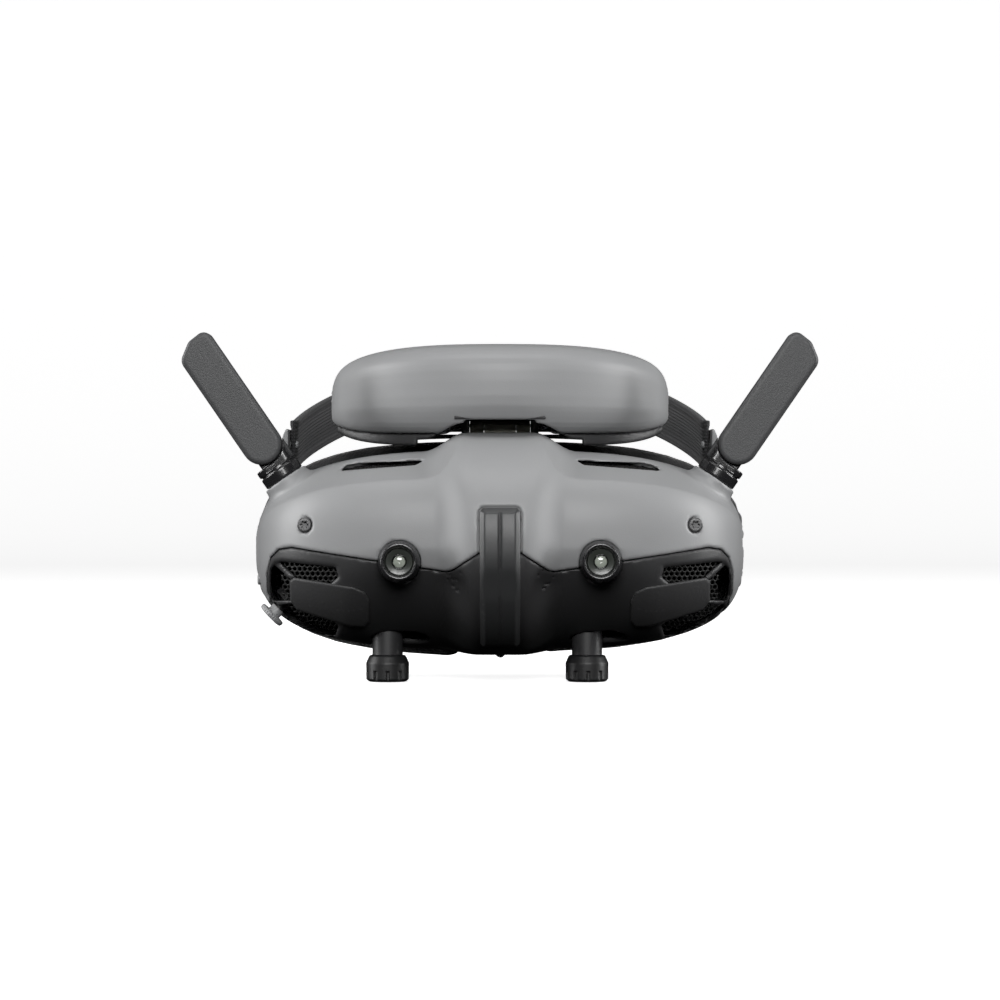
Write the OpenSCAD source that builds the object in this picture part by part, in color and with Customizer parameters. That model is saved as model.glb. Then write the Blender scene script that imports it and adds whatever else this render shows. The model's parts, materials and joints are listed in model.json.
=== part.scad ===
// Head-worn video goggles with folding antennas, sliding eyepieces and a tilting forehead pad.
// Millimetres. X runs across the face, the front looks along -Y and +Z is up.
// Inside the modules, y is the depth behind the foremost face; in_place() centres the whole in Y.

/* [Housing] */
// Width of the housing across the temples
housing_w = 158.4; // [156:0.4:162]
// Height of the housing's widest line above the resting plane
mid_z = 44; // [43.8:0.1:44.4]
// Rise of the housing above its widest line
top_rise = 31; // [30.6:0.1:31.4]
// Drop of the housing below its widest line
bottom_drop = 34; // [33.6:0.1:34.2]
// Wall of the front shells
shell_t = 2; // [1.8:0.1:2.2]
// How far the central ridge stands proud of the brow
ridge_rise = 6; // [5:0.5:6.5]

/* [Eyepieces] */
// Distance of the left eyepiece from the middle, at its outer stop
eye_left = 36.3; // [36:0.1:36.6]
// Distance of the right eyepiece from the middle, at its inner stop
eye_right = 28.1; // [28:0.1:28.6]
// Travel of each eyepiece along its rails
eye_travel = 8; // [6:0.5:8]
// Outer radius of a lens barrel
barrel_r = 15.5; // [14.5:0.1:15.5]
// Radius of a focus knob
knob_r = 6.95; // [6.5:0.05:7]
// Height of a focus knob
knob_h = 8.8; // [8.5:0.1:9]
// Notches round a focus knob
knob_notches = 10; // [6:1:12]

/* [Antennas] */
// Lean of an antenna from the vertical, in degrees
lean = 34.5; // [32:0.5:36]
// Length from the socket face to the tip
antenna_l = 54.4; // [48:0.2:56]
// Width of the blade
blade_w = 13; // [12:0.2:13.4]
// Height of the fold pivot above the socket face
pivot_h = 13.3; // [13:0.1:14]

/* [Forehead pad] */
// Half the width of the pad
pad_half_w = 55.7; // [54:0.1:57]
// Height of the top of the pad
pad_top_z = 109.6; // [108:0.2:111]
// Height of the hinge axis
hinge_z = 82.2; // [82:0.1:82.6]

/* [Headband] */
// Thickness of the band
band_t = 2; // [1.6:0.1:2]
// Width of the band
band_w = 16; // [14:0.5:16]
// Half the distance between the middles of the band's two straight runs
band_half_x = 68.6; // [68:0.1:68.6]

/* [Hidden] */

gap = 0.1;
overall_depth = 196;
half_w = housing_w / 2;

// Depths of the housing's planes
widest_y = 56;
front_reach = 48;
ridge_reach = 6.8;
ridge_end_y = 50;
seam_y = 58;
// Superellipse exponents of the outline and of the front profile
outline_x_exp = 3;
outline_top_exp = 2.6;
outline_bottom_exp = 3.4;
plan_x_exp = 3.2;
plan_exp = 2.4;
profile_top_exp = 2.6;
profile_bottom_exp = 2.2;
ridge_flat = 10.5;
ridge_foot = 25;
crest_flat = 6.5;
crest_foot = 21;
keel_drop = 1.8;

// Face opening: the foam sits between two upright cylinders with one axis
face_axis_y = 235;
face_r = 165;
foam_t = 12;
foam_proud = 3;
foam_width = 9;
nose_half_w = 17;
nose_top_z = 34;

// Small parts on the front
camera_x = 31.7;
camera_z = 39.4;
camera_ring_r = 6.6;
camera_bore_r = 4.25;
screw_x = 62.1;
screw_z = 50.9;
screw_seat_y = 20.2;
bar_half_w = 6.4;
bar_top_z = 56.3;
bar_bottom_z = 10.8;
bar_t = 1.2;

// Antenna socket
socket = [-69.6, 45, 65.7];
collar_r = 6.8;
shaft_r = 3.9;
blade_t = 9.5;
tongue_t = 3.4;
plate_t = 3;
pin_r = 1.2;

// Optics
eye_z = 44;
rail_y = 50;
rail_r = 1.2;
rail_dz = 20;
rail_half_l = 54;
stem_y = 40;
stem_r = 4.9;
spigot_r = 3;

// Pad
pad_bottom_z = 76.6;
pad_mid_z = 86;
pad_mid_y = 50;
pad_curve = 0.0065;
pad_reach = 20;
pad_split_y = 6;
hinge_y = 51.6;
hinge_r = 1.5;
hinge_pin_r = 0.75;
hinge_half_l = 9.7;
hinge_mid_half_l = 5.1;
notch_half_w = 11.7;
notch_top_z = 84.7;

// Ports on the left temple
port_y = 71;
card_y = 65;

// Joystick
stick_base = [-71.5, 46, 24];
stick_lean = 226;
stick_pivot_t = -4;
stick_r = 1.6;
stick_pin_r = 0.6;

module in_place() {
    translate([0, -overall_depth / 2, 0]) children();
}

// Gives its children as one mesh, which keeps curved shells watertight.
module one_mesh() {
    resize([0, 0, 0]) children();
}

module right() {
    mirror([1, 0, 0]) children();
}

module along_y(from, to) {
    translate([0, to, 0]) rotate([90, 0, 0]) linear_extrude(to - from) children();
}

module along_x(from, to) {
    translate([from, 0, 0]) rotate([0, 90, 0]) children();
}

module rod_y(x, z, r, from, to) {
    translate([x, to, z]) rotate([90, 0, 0]) cylinder(r = r, h = to - from, $fn = 48);
}

module rod_x(y, z, r, from, to) {
    translate([from, y, z]) rotate([0, 90, 0]) cylinder(r = r, h = to - from, $fn = 40);
}

module rod_z(x, y, r, from, to) {
    translate([x, y, from]) cylinder(r = r, h = to - from, $fn = 48);
}

// Skins a list of closed sections that all have the same number of points.
module loft(sections) {
    n = len(sections[0]);
    m = len(sections);
    sides = [for (i = [0:m - 2], j = [0:n - 1]) each [
        [i * n + j, (i + 1) * n + j, i * n + (j + 1) % n],
        [i * n + (j + 1) % n, (i + 1) * n + j, (i + 1) * n + (j + 1) % n]
    ]];
    caps = [
        [for (j = [0:n - 1]) j],
        [for (j = [n - 1:-1:0]) (m - 1) * n + j]
    ];
    polyhedron([for (s = sections) each s], concat(sides, caps));
}

// 1 inside the flat, falling smoothly to 0 at the foot.
function bump(x, flat, foot) =
    let (t = min(1, max(0, (abs(x) - flat) / (foot - flat)))) (1 + cos(180 * t)) / 2;

function fall(s, a, b) = pow(1 - pow(min(1, abs(s)), a), 1 / b);

// Stations across the housing as shares of its half width, closer together over the ridge.
outer_stations = [for (k = [1:10]) sin(19.2 + 6.73 * k)];
stations = concat(
    [for (k = [9:-1:0]) -outer_stations[k]],
    [for (k = [-8:8]) k * 0.0411],
    outer_stations
);

// One upright section of the housing, grown by g, closed at depth back.
function housing_section(s, g, back) =
    let (
        x = s * (half_w + g),
        plain = mid_z + (top_rise + g) * fall(s, outline_x_exp, outline_top_exp),
        top = (top_rise + g + ridge_rise * bump(x, ridge_flat, ridge_foot))
            * fall(s, outline_x_exp, outline_top_exp),
        bottom = (bottom_drop + g + keel_drop * bump(x, crest_flat, crest_foot))
            * fall(s, outline_x_exp, outline_bottom_exp),
        reach = (front_reach + g + ridge_reach * bump(x, crest_flat, crest_foot))
            * fall(s, plan_x_exp, plan_exp),
        last_y = ridge_end_y + g
    )
    concat(
        [[x, back, plain], [x, last_y, plain]],
        [for (a = [90:-6.4285714:-90.01])
            let (up = sin(a) >= 0, p = up ? profile_top_exp : profile_bottom_exp,
                y = widest_y - reach * pow(max(0, cos(a)), 2 / p),
                h = pow(abs(sin(a)), 2 / p))
            [x, up ? min(y, last_y) : y, mid_z + (up ? top * h : -bottom * h)]],
        [[x, back, mid_z - bottom]]
    );

module housing(g, back = seam_y) {
    loft([for (s = stations) housing_section(s, g, back)]);
}

module layer(outer, inner) {
    difference() {
        housing(outer);
        housing(inner, seam_y + 1);
    }
}

// The housing's outline in the X-Z plane, grown by g.
function outline(g) =
    let (w = half_w + g)
    concat(
        [for (a = [0:5:180]) let (x = w * cos(a))
            [x, mid_z + (top_rise + g) * fall(x / w, outline_x_exp, outline_top_exp)]],
        [for (a = [185:5:355]) let (x = w * cos(a))
            [x, mid_z - (bottom_drop + g) * fall(x / w, outline_x_exp, outline_bottom_exp)]]
    );

// Right half of the lower edge of the upper shell, from the bar out to the temple.
seam_points = [
    [6.7, 42.1], [14.8, 36.7], [17, 36.1], [25.3, 37.4], [38.5, 39.5], [54, 41.8],
    [66.2, 43.7], [70.6, 43], [73.4, 40.3], [74.9, 34.9], [74.9, 29], [73.6, 24.6],
    [71.5, 21], [69.5, 19], [71, 0]
];

module upper_area() {
    far = 95;
    polygon(concat(
        [for (p = seam_points) p],
        [[far, 0], [far, far], [-far, far], [-far, 0]],
        [for (k = [len(seam_points) - 1:-1:0]) [-seam_points[k][0], seam_points[k][1]]]
    ));
}

// The air intake in the right corner of the lower shell.
module intake_area() {
    polygon([
        [51, 34.4], [51.9, 37.6], [69.5, 39.2], [72, 38.6], [73.6, 36.4], [74.1, 32.6],
        [74, 28], [72.3, 23.8], [67.3, 19.4], [57.3, 15.6], [53.3, 14.7], [51.6, 18.4],
        [55, 22], [55, 31]
    ]);
}

module intake_ribs() {
    polygon([[66, 33.4], [71.6, 39.4], [73, 38.2], [67.4, 32.2]]);
    polygon([[66, 26.9], [75, 26.2], [75, 24.8], [66, 25.4]]);
}

module panel_area() {
    polygon([
        [67.1, 32.9], [65.6, 34.1], [46.2, 31.2], [42.7, 29.6], [41.3, 26.8], [41.7, 19.9],
        [43.3, 18], [47.4, 18.2], [64.9, 23.5], [67.1, 26.4]
    ]);
}

module vent_area() {
    polygon([[25, 71.3], [27, 70.1], [51.2, 68.3], [49.4, 69.8], [46, 70.5]]);
}

module both_sides() {
    children();
    right() children();
}

module camera_holes() {
    for (s = [-1, 1]) rod_y(s * camera_x, camera_z, camera_ring_r + gap, -5, 22);
}

module antenna_frame() {
    translate(socket) rotate([0, -lean, 0]) children();
}

module stick_frame() {
    translate(stick_base) rotate([0, stick_lean, 0]) children();
}

module front_shell() {
    color([0.42, 0.43, 0.44]) one_mesh() difference() {
        union() {
            intersection() {
                layer(0, -shell_t);
                along_y(-5, 70) upper_area();
            }
            intersection() {
                housing(0);
                for (s = [-1, 1]) rod_y(s * screw_x, screw_z, 4, 15, 22.6);
            }
            both_sides() antenna_frame() translate([0, 0, -6])
                cylinder(r = collar_r + 0.8, h = 6.2, $fn = 40);
        }
        camera_holes();
        for (s = [-1, 1]) {
            rod_y(s * screw_x, screw_z, 2.45, 0, screw_seat_y);
            rod_y(s * screw_x, screw_z, 1.25, 0, 30);
        }
        both_sides() along_y(5, 40) vent_area();
        both_sides() antenna_frame() translate([0, 0, -9])
            cylinder(r = shaft_r + 0.15, h = 12, $fn = 40);
        stick_frame() translate([0, 0, -6]) cylinder(r = 3.6, h = 14, $fn = 32);
        translate([-half_w - 4, 52, 33]) along_x(0, 12) back_button_area(gap);
        rod_x(52, 45, 3.6, half_w - 8, half_w + 4);
    }
}

module lower_shell() {
    color([0.08, 0.08, 0.085]) one_mesh() difference() {
        layer(0, -shell_t);
        along_y(-6, 71) offset(delta = 0.2) upper_area();
        both_sides() along_y(5, 60) difference() {
            intake_area();
            intake_ribs();
        }
        camera_holes();
        eyepiece_slots(stem_r + 0.3);
        stick_frame() translate([0, 0, -6]) cylinder(r = 3.6, h = 14, $fn = 32);
    }
}

module eyepiece_slots(r) {
    for (x = [-eye_left, eye_right])
        translate([0, 0, 6]) linear_extrude(12) hull()
            for (dx = [0, eye_travel]) translate([x + dx, stem_y]) circle(r = r, $fn = 32);
}

module center_bar() {
    color([0.14, 0.14, 0.145]) one_mesh() intersection() {
        layer(bar_t, 0.05);
        along_y(-2, 45) polygon([
            [-bar_half_w, bar_bottom_z], [bar_half_w, bar_bottom_z],
            [bar_half_w, bar_top_z - 1], [bar_half_w - 1, bar_top_z],
            [1 - bar_half_w, bar_top_z], [-bar_half_w, bar_top_z - 1]
        ]);
    }
}

module intake_panel() {
    color([0.11, 0.11, 0.115]) one_mesh() intersection() {
        layer(1.2, 0.05);
        along_y(0, 50) panel_area();
    }
}

module vent_meshes() {
    color([0.05, 0.05, 0.05]) one_mesh() difference() {
        both_sides() intersection() {
            layer(-2.1, -3);
            union() {
                along_y(0, 46) offset(delta = 1.2) intake_area();
                along_y(5, 46) offset(delta = 1) vent_area();
            }
        }
        stick_frame() translate([0, 0, -9]) cylinder(r = 6.6, h = 14, $fn = 32);
    }
}

module camera_ring() {
    color([0.1, 0.1, 0.105]) translate([-camera_x, 0, camera_z]) rotate([-90, 0, 0])
        rotate_extrude($fn = 64) polygon([
            [camera_bore_r, 5], [camera_bore_r + 0.6, 3.6], [5.6, 3.6], [camera_ring_r, 6.4],
            [camera_ring_r, 13], [camera_bore_r, 13]
        ]);
}

module camera_module() {
    color([0.16, 0.17, 0.16]) {
        rod_y(-camera_x, camera_z, camera_bore_r - 0.05, 5.4, 16);
        translate([-camera_x - 4.5, 16, camera_z - 4.5]) cube([9, 4, 9]);
    }
}

module shell_screws() {
    color([0.2, 0.2, 0.2]) for (s = [-1, 1]) difference() {
        union() {
            rod_y(s * screw_x, screw_z, 2.3, screw_seat_y - 2.1, screw_seat_y);
            rod_y(s * screw_x, screw_z, 1.1, screw_seat_y - 0.5, 32);
        }
        translate([s * screw_x, screw_seat_y - 0.8, screw_z]) rotate([90, 0, 0])
            cylinder(r = 1.1, h = 3, $fn = 6);
    }
}

module ring_area(outer, inner) {
    difference() {
        polygon(outline(outer));
        polygon(outline(inner));
    }
}

module nose_cut(grow) {
    along_y(63.5, 120) polygon([
        [-nose_half_w - grow, -10], [-nose_half_w - grow, 12], [-5 - grow, nose_top_z + grow],
        [5 + grow, nose_top_z + grow], [nose_half_w + grow, 12], [nose_half_w + grow, -10]
    ]);
}

module face_cylinder(r) {
    translate([0, face_axis_y, -20]) cylinder(r = r, h = 140, $fn = 180);
}

module rear_frame() {
    color([0.07, 0.07, 0.075]) difference() {
        union() {
            along_y(seam_y + 0.2, 91) ring_area(0, -2.5);
            along_y(63, 64.5) ring_area(-2.4, -5.5);
        }
        face_cylinder(face_r);
        nose_cut(0);
        translate([-half_w - 2, port_y, mid_z]) along_x(0, 10) port_area(gap);
        translate([-half_w - 2, card_y - gap, 50.9]) cube([10, 12.2, 2.6]);
        both_sides() translate([-71.6, 63.9, 58]) cube([4.2, 14.2, 12]);
    }
}

module face_foam() {
    color([0.03, 0.03, 0.03]) difference() {
        intersection() {
            along_y(65, 106) ring_area(foam_proud, -foam_width);
            face_cylinder(face_r - 0.1);
        }
        face_cylinder(face_r - foam_t);
        nose_cut(-3);
    }
}

module light_shield() {
    color([0.05, 0.05, 0.05]) difference() {
        union() {
            along_y(61.4, 62.9) polygon(outline(-2.7));
            for (s = [-1, 1], z = [eye_z - rail_dz, eye_z + rail_dz])
                translate([s * (rail_half_l + 1.3) - 1.25, rail_y - 2.5, z - 2]) cube([2.5, 14, 4]);
        }
        for (x = [-eye_left, eye_right])
            along_y(60, 65) hull() for (dx = [0, eye_travel])
                translate([x + dx, eye_z]) circle(r = barrel_r + 0.7, $fn = 64);
    }
}

module guide_rails() {
    color("silver") for (z = [eye_z - rail_dz, eye_z + rail_dz])
        rod_x(rail_y, z, rail_r, -rail_half_l, rail_half_l);
}

module mainboard() {
    color([0.05, 0.3, 0.15]) {
        translate([-50, 24, 25.5]) cube([100, 1.6, 35]);
        for (x = [-44, -26, 14, 32]) translate([x, 22.6, 30]) cube([12, 1.5, 12]);
    }
}

module heatsink() {
    color([0.6, 0.6, 0.62]) {
        translate([-12, 25.6, 28]) cube([24, 1.4, 32]);
        for (k = [0:6]) translate([-12 + k * 3.8, 27, 28]) cube([1.2, 5, 32]);
    }
}

module fan_housing() {
    color([0.06, 0.06, 0.06]) difference() {
        translate([-15, 13, 31]) cube([30, 7, 30]);
        rod_y(0, 46, 13.3, 12, 19.2);
        for (k = [0:5]) rotate_about_fan(60 * k) rod_y(8.5, 46, 2.6, 18, 21);
    }
    color([0.3, 0.3, 0.3]) rod_y(0, 46, 1.5, 14.6, 19.2);
}

module rotate_about_fan(a) {
    translate([0, 0, 46]) rotate([0, a, 0]) translate([0, 0, -46]) children();
}

module fan_impeller() {
    color([0.1, 0.1, 0.1]) difference() {
        union() {
            rod_y(0, 46, 5, 13.4, 18.8);
            for (k = [0:8]) rotate_about_fan(40 * k)
                translate([4.5, 14, 46]) rotate([0, -18, 0]) cube([7.6, 4.6, 0.9]);
        }
        rod_y(0, 46, 1.56, 14.4, 19);
    }
}

module proximity_sensor() {
    color([0.1, 0.02, 0.02]) along_y(62.9, 64) hull()
        for (x = [-2.5, 2.5]) translate([x, 62]) circle(r = 1.6, $fn = 24);
}

// The mouth of a reversible data port, in the plane that along_x extrudes.
module port_area(grow) {
    linear_extrude(9.5) hull()
        for (y = [-2.85, 2.85]) translate([0, y]) circle(r = 1.63 + grow, $fn = 24);
}

module usb_port() {
    color("silver") translate([-half_w + 0.4, port_y, mid_z]) along_x(0, 8) difference() {
        linear_extrude(7.5) hull()
            for (y = [-2.84, 2.84]) translate([0, y]) circle(r = 1.63, $fn = 24);
        translate([0, 0, -1]) linear_extrude(7.5) hull()
            for (y = [-2.89, 2.89]) translate([0, y]) circle(r = 1.28, $fn = 24);
    }
    color([0.1, 0.1, 0.1]) translate([-half_w + 1.2, port_y - 3.35, mid_z - 0.35]) cube([6.2, 6.7, 0.7]);
}

module card_slot() {
    color([0.3, 0.3, 0.3]) difference() {
        translate([-half_w + 0.9, card_y, 51]) cube([13, 12, 2.4]);
        translate([-half_w - 0.1, card_y + 0.4, 51.7]) cube([12, 11.2, 1]);
    }
}

module hinge_lower_leaf() {
    color([0.25, 0.24, 0.21]) difference() {
        union() {
            rod_x(hinge_y, hinge_z, hinge_r, -hinge_mid_half_l, hinge_mid_half_l);
            translate([-hinge_mid_half_l, ridge_end_y + 0.1, 75.6])
                cube([2 * hinge_mid_half_l, hinge_r, hinge_z - 75.6]);
        }
        rod_x(hinge_y, hinge_z, hinge_pin_r + 0.05, -6, 6);
    }
}

module hinge_upper_leaf() {
    color([0.25, 0.24, 0.21]) difference() {
        union() {
            for (s = [-1, 1]) rod_x(hinge_y, hinge_z, hinge_r,
                min(s * hinge_half_l, s * 5.3), max(s * hinge_half_l, s * 5.3));
            for (s = [-1, 1]) translate([s > 0 ? 5.3 : -hinge_half_l, hinge_y, hinge_z + 0.3])
                cube([hinge_half_l - 5.3, 4, 1.2]);
            translate([-hinge_half_l, hinge_y + 3, hinge_z + 1]) cube([2 * hinge_half_l, 8, 1.4]);
        }
        rod_x(hinge_y, hinge_z, hinge_pin_r + 0.05, -11, 11);
    }
}

module hinge_pin() {
    color([0.4, 0.39, 0.36]) rod_x(hinge_y, hinge_z, hinge_pin_r, -hinge_half_l, hinge_half_l);
}

// Forehead pad: sections across a banana-shaped plan.
function pad_s(x, g) = min(1, abs(x) / (pad_half_w + g));
function pad_line_y(x) = pad_mid_y + pad_curve * x * x;
function pad_top(x, g) = pad_mid_z + (pad_top_z - pad_mid_z + g) * fall(pad_s(x, g), 2.9, 4.7);
function pad_low(x, g) = pad_mid_z - (pad_mid_z - pad_bottom_z + g) * fall(pad_s(x, g), 5, 2.5);
function pad_front(x, g) = pad_line_y(x) - (pad_reach + g) * fall(pad_s(x, g), 3, 2.2);

pad_stations = [for (k = [-12:12]) sin(k * 7.25) / sin(87)];

function pad_shell_section(s, g, back) =
    let (
        x = s * (pad_half_w + g) * 0.999,
        top = pad_top(x, g),
        low = pad_low(x, g),
        h = top - low,
        f = pad_front(x, g),
        b = pad_line_y(x) + back,
        d = (b - f) / 26
    )
    [
        [x, b, top - 0.04 * h], [x, f + 15 * d, top], [x, f + 7 * d, top - 0.03 * h],
        [x, f + 3 * d, top - 0.1 * h], [x, f + 0.8 * d, top - 0.18 * h], [x, f, top - 0.3 * h],
        [x, f, low + 0.4 * h], [x, f + 1.2 * d, low + 0.3 * h], [x, f + 4 * d, low + 0.19 * h],
        [x, f + 9 * d, low + 0.11 * h], [x, b, low + 0.1 * h]
    ];

module pad_body(g, back) {
    loft([for (s = pad_stations) pad_shell_section(s, g, back)]);
}

module pad_clearance() {
    translate([-notch_half_w, 0, 60]) cube([2 * notch_half_w, 90, notch_top_z - 60]);
    intersection() {
        housing(4, 62);
        translate([-27, 0, 60]) cube([54, 80, 30]);
    }
}

module pad_shell() {
    color([0.42, 0.43, 0.44]) one_mesh() difference() {
        pad_body(0, pad_split_y);
        pad_body(-2, pad_split_y + 1);
        pad_clearance();
    }
}

// A slab that follows the pad's plan between two depths behind its middle line.
function pad_slab_section(s, g, from, to, low_share) =
    let (
        x = s * (pad_half_w + g) * 0.999,
        top = pad_top(x, g) - 1,
        low = pad_low(x, g),
        low2 = low + low_share * (top - low),
        y = pad_line_y(x),
        t = to - from
    )
    [
        [x, y + from, top], [x, y + from, low2], [x, y + from + 0.6 * t, low2 + 0.3],
        [x, y + to, low2 + 3], [x, y + to, top - 4], [x, y + from + 0.6 * t, top - 1]
    ];

module pad_slab(g, from, to, low_share) {
    loft([for (s = pad_stations) pad_slab_section(s, g, from, to, low_share)]);
}

// The strip of the inner shell that shows under the outer one.
function pad_sill_section(s) =
    let (
        x = s * (pad_half_w - 2),
        top = pad_top(x, 0),
        low = pad_low(x, 0),
        f = pad_front(x, 0),
        b = pad_line_y(x) + pad_split_y + 1,
        h = top - low,
        step_y = b - 0.95,
        d = (b - f) / 26
    )
    [
        [x, b, low + 0.16 * h], [x, step_y, low + 0.16 * h], [x, step_y, low + 0.08 * h],
        [x, f + 9 * d, low + 0.08 * h], [x, f + 11 * d, low], [x, b - 0.7, low]
    ];

module pad_inner_shell() {
    color([0.06, 0.06, 0.065]) one_mesh() difference() {
        union() {
            pad_slab(-0.4, pad_split_y + 0.2, pad_split_y + 8, 0.13);
            loft([for (s = pad_stations) pad_sill_section(s)]);
            intersection() {
                pad_body(-2.3, pad_split_y + 0.5);
                translate([-15, 30, notch_top_z]) cube([30, 40, 1.6]);
            }
        }
        pad_clearance();
    }
}

module pad_cushion() {
    color([0.04, 0.04, 0.04]) one_mesh() difference() {
        pad_slab(-3, pad_split_y + 8.3, pad_split_y + 20, 0.24);
        translate([-20, 0, 60]) cube([40, 100, 24.6]);
    }
}

module battery_cells() {
    color([0.1, 0.15, 0.35]) for (s = [-1, 1])
        translate([s * 18, 46, 94.1]) rotate([0, 0, s * 12]) cube([31, 9, 15], center = true);
}

module antenna_area() {
    r = blade_w / 2;
    hull() {
        translate([0, pivot_h]) circle(r = r, $fn = 64);
        translate([r - 3, antenna_l - 3]) circle(r = 3, $fn = 32);
        translate([3.6 - r, antenna_l - 6]) circle(r = 3.6, $fn = 32);
        translate([0.4, antenna_l - 3.6]) circle(r = 3.4, $fn = 32);
    }
}

module antenna_collar() {
    color([0.1, 0.1, 0.105]) antenna_frame() difference() {
        union() {
            translate([0, 0, -5.6]) cylinder(r = shaft_r, h = 6, $fn = 48);
            translate([0, 0, 0.3]) cylinder(r = collar_r, h = 3.5, $fn = 64);
            translate([0, 0, 3.7]) cylinder(r = collar_r - 0.7, h = 0.6, $fn = 64);
            along_y(-4.5, 4.5) difference() {
                translate([-6.4, 4.2]) square([12.8, pivot_h - 4.2]);
                translate([0, pivot_h]) circle(r = blade_w / 2 + 0.25, $fn = 64);
                translate([-8, 6.5]) square([8, 10]);
            }
            along_y(-tongue_t / 2, tongue_t / 2) union() {
                translate([0, pivot_h]) circle(r = 6.1, $fn = 64);
                translate([-4.5, 4.4]) square([9, pivot_h - 5]);
            }
        }
        along_y(-6, 6) translate([0, pivot_h]) circle(r = pin_r + 0.05, $fn = 32);
    }
}

module antenna_pin() {
    color("silver") antenna_frame() along_y(-3.4, 4.7)
        translate([0, pivot_h]) circle(r = pin_r, $fn = 32);
}

// One half of the blade's case; the front half hides the pin's end.
module antenna_cover(front) {
    half = blade_t / 2;
    antenna_frame() difference() {
        union() {
            along_y(front ? -half : half - plate_t, front ? plate_t - half : half) antenna_area();
            along_y(front ? plate_t - half - 0.1 : 0.02, front ? -0.02 : half - plate_t + 0.1)
                difference() {
                    antenna_area();
                    offset(delta = -1.5) antenna_area();
                    translate([-10, 0]) square([20, pivot_h + 7.2]);
                }
        }
        along_y(front ? -3.5 : 0, front ? 0 : 6)
            translate([0, pivot_h]) circle(r = pin_r + 0.06, $fn = 32);
    }
}

module antenna_front_cover() {
    color([0.2, 0.2, 0.205]) antenna_cover(true);
}

module antenna_rear_cover() {
    color([0.16, 0.16, 0.165]) antenna_cover(false);
}

module antenna_board() {
    color([0.05, 0.3, 0.15]) antenna_frame() translate([-3.6, -0.6, 23]) cube([7.2, 1.2, 24]);
}

module carriage(x) {
    color([0.12, 0.12, 0.12]) difference() {
        union() {
            rod_y(x, eye_z, barrel_r + 2.5, 40, 60.5);
            rod_y(x, eye_z, barrel_r + 8.5, 60, 61);
            for (z = [eye_z - rail_dz, eye_z + rail_dz]) rod_x(rail_y, z, 3, x - 12, x + 12);
            translate([x - 16, 38, eye_z - 13]) cube([32, 2.2, 26]);
            rod_z(x, stem_y, 7, 17.6, 30);
        }
        rod_y(x, eye_z, barrel_r + gap, 40, 62);
        for (z = [eye_z - rail_dz, eye_z + rail_dz]) rod_x(rail_y, z, rail_r + 0.05, x - 14, x + 14);
        translate([x - 10, 37, eye_z - 7]) cube([20, 5, 14]);
        rod_z(x, stem_y, stem_r + 0.08, 16, 27.2);
    }
}

module display(x) {
    color([0.1, 0.1, 0.2]) translate([x - 13, 34, eye_z - 10]) cube([26, 3.9, 20]);
}

module lens_barrel(x) {
    color([0.05, 0.05, 0.05]) translate([x, 0, eye_z]) rotate([-90, 0, 0])
        rotate_extrude($fn = 96) polygon([
            [barrel_r - 3, 44], [barrel_r, 44], [barrel_r, 67.4], [barrel_r - 0.6, 68],
            [barrel_r - 2, 68], [barrel_r - 2, 60], [barrel_r - 3, 60]
        ]);
}

module eye_lens(x) {
    r = barrel_r - 2.05;
    color([0.6, 0.65, 0.7, 0.4]) translate([x, 0, eye_z]) rotate([-90, 0, 0])
        rotate_extrude($fn = 96) polygon(concat(
            [[0, 58.4]],
            [for (k = [1:5]) [(barrel_r - 3.2) * k / 5, 60 - 1.6 * (1 - pow(k / 5, 2))]],
            [[barrel_r - 3.2, 60.05], [r, 60.05], [r, 62]],
            [for (k = [4:-1:0]) [r * k / 5, 65 - 3 * pow(k / 5, 2)]]
        ));
}

module knob_stem(x) {
    color([0.09, 0.09, 0.09]) {
        rod_z(x, stem_y, stem_r, knob_h + 0.1, 24.6);
        rod_z(x, stem_y, spigot_r, 2.7, knob_h + 0.2);
    }
}

module focus_knob(x) {
    color([0.1, 0.1, 0.1]) translate([x, stem_y, 0]) difference() {
        rotate_extrude($fn = 96) polygon([
            [0, 0], [knob_r - 1.2, 0], [knob_r - 0.1, 1], [knob_r, 6.2],
            [knob_r - 1.05, knob_h - 0.2], [knob_r - 1.25, knob_h], [0, knob_h]
        ]);
        translate([0, 0, 2.5]) cylinder(r = spigot_r + 0.06, h = 10, $fn = 48);
        for (k = [0:knob_notches - 1]) rotate([0, 0, 20 + k * 360 / knob_notches])
            translate([knob_r - 0.6, -0.5, -1]) cube([2, 1, 4.6]);
    }
}

module joystick_gimbal() {
    color([0.3, 0.3, 0.3]) stick_frame() translate([0, 0, stick_pivot_t]) {
        difference() {
            translate([0, 0, -1]) cylinder(r = 4.6, h = 2, $fn = 48);
            translate([0, 0, -2]) cylinder(r = 2.9, h = 4, $fn = 48);
            rotate([0, 90, 0]) cylinder(r = stick_pin_r + 0.05, h = 12, center = true, $fn = 24);
        }
        for (s = [-1, 1]) rotate([s * 90, 0, 0])
            translate([0, 0, 4.5]) cylinder(r = stick_pin_r, h = 1.1, $fn = 24);
    }
}

module joystick_stem() {
    color([0.3, 0.3, 0.3]) stick_frame() {
        translate([0, 0, stick_pivot_t - 1.2]) cylinder(r = stick_r, h = 8.2, $fn = 40);
        translate([0, 0, stick_pivot_t]) rotate([0, 90, 0])
            cylinder(r = stick_pin_r, h = 8, center = true, $fn = 24);
    }
}

module joystick_button() {
    color([0.42, 0.43, 0.44]) stick_frame() rotate_extrude($fn = 48) polygon([
        [stick_r + 0.06, 0.4], [stick_r + 0.7, 0.4], [stick_r + 0.7, 2.8], [4.4, 2.8], [4.6, 3.4],
        [4.2, 4.2], [2.8, 4.7], [0, 4.9], [0, 3.6], [stick_r + 0.06, 3.6]
    ]);
}

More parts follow.
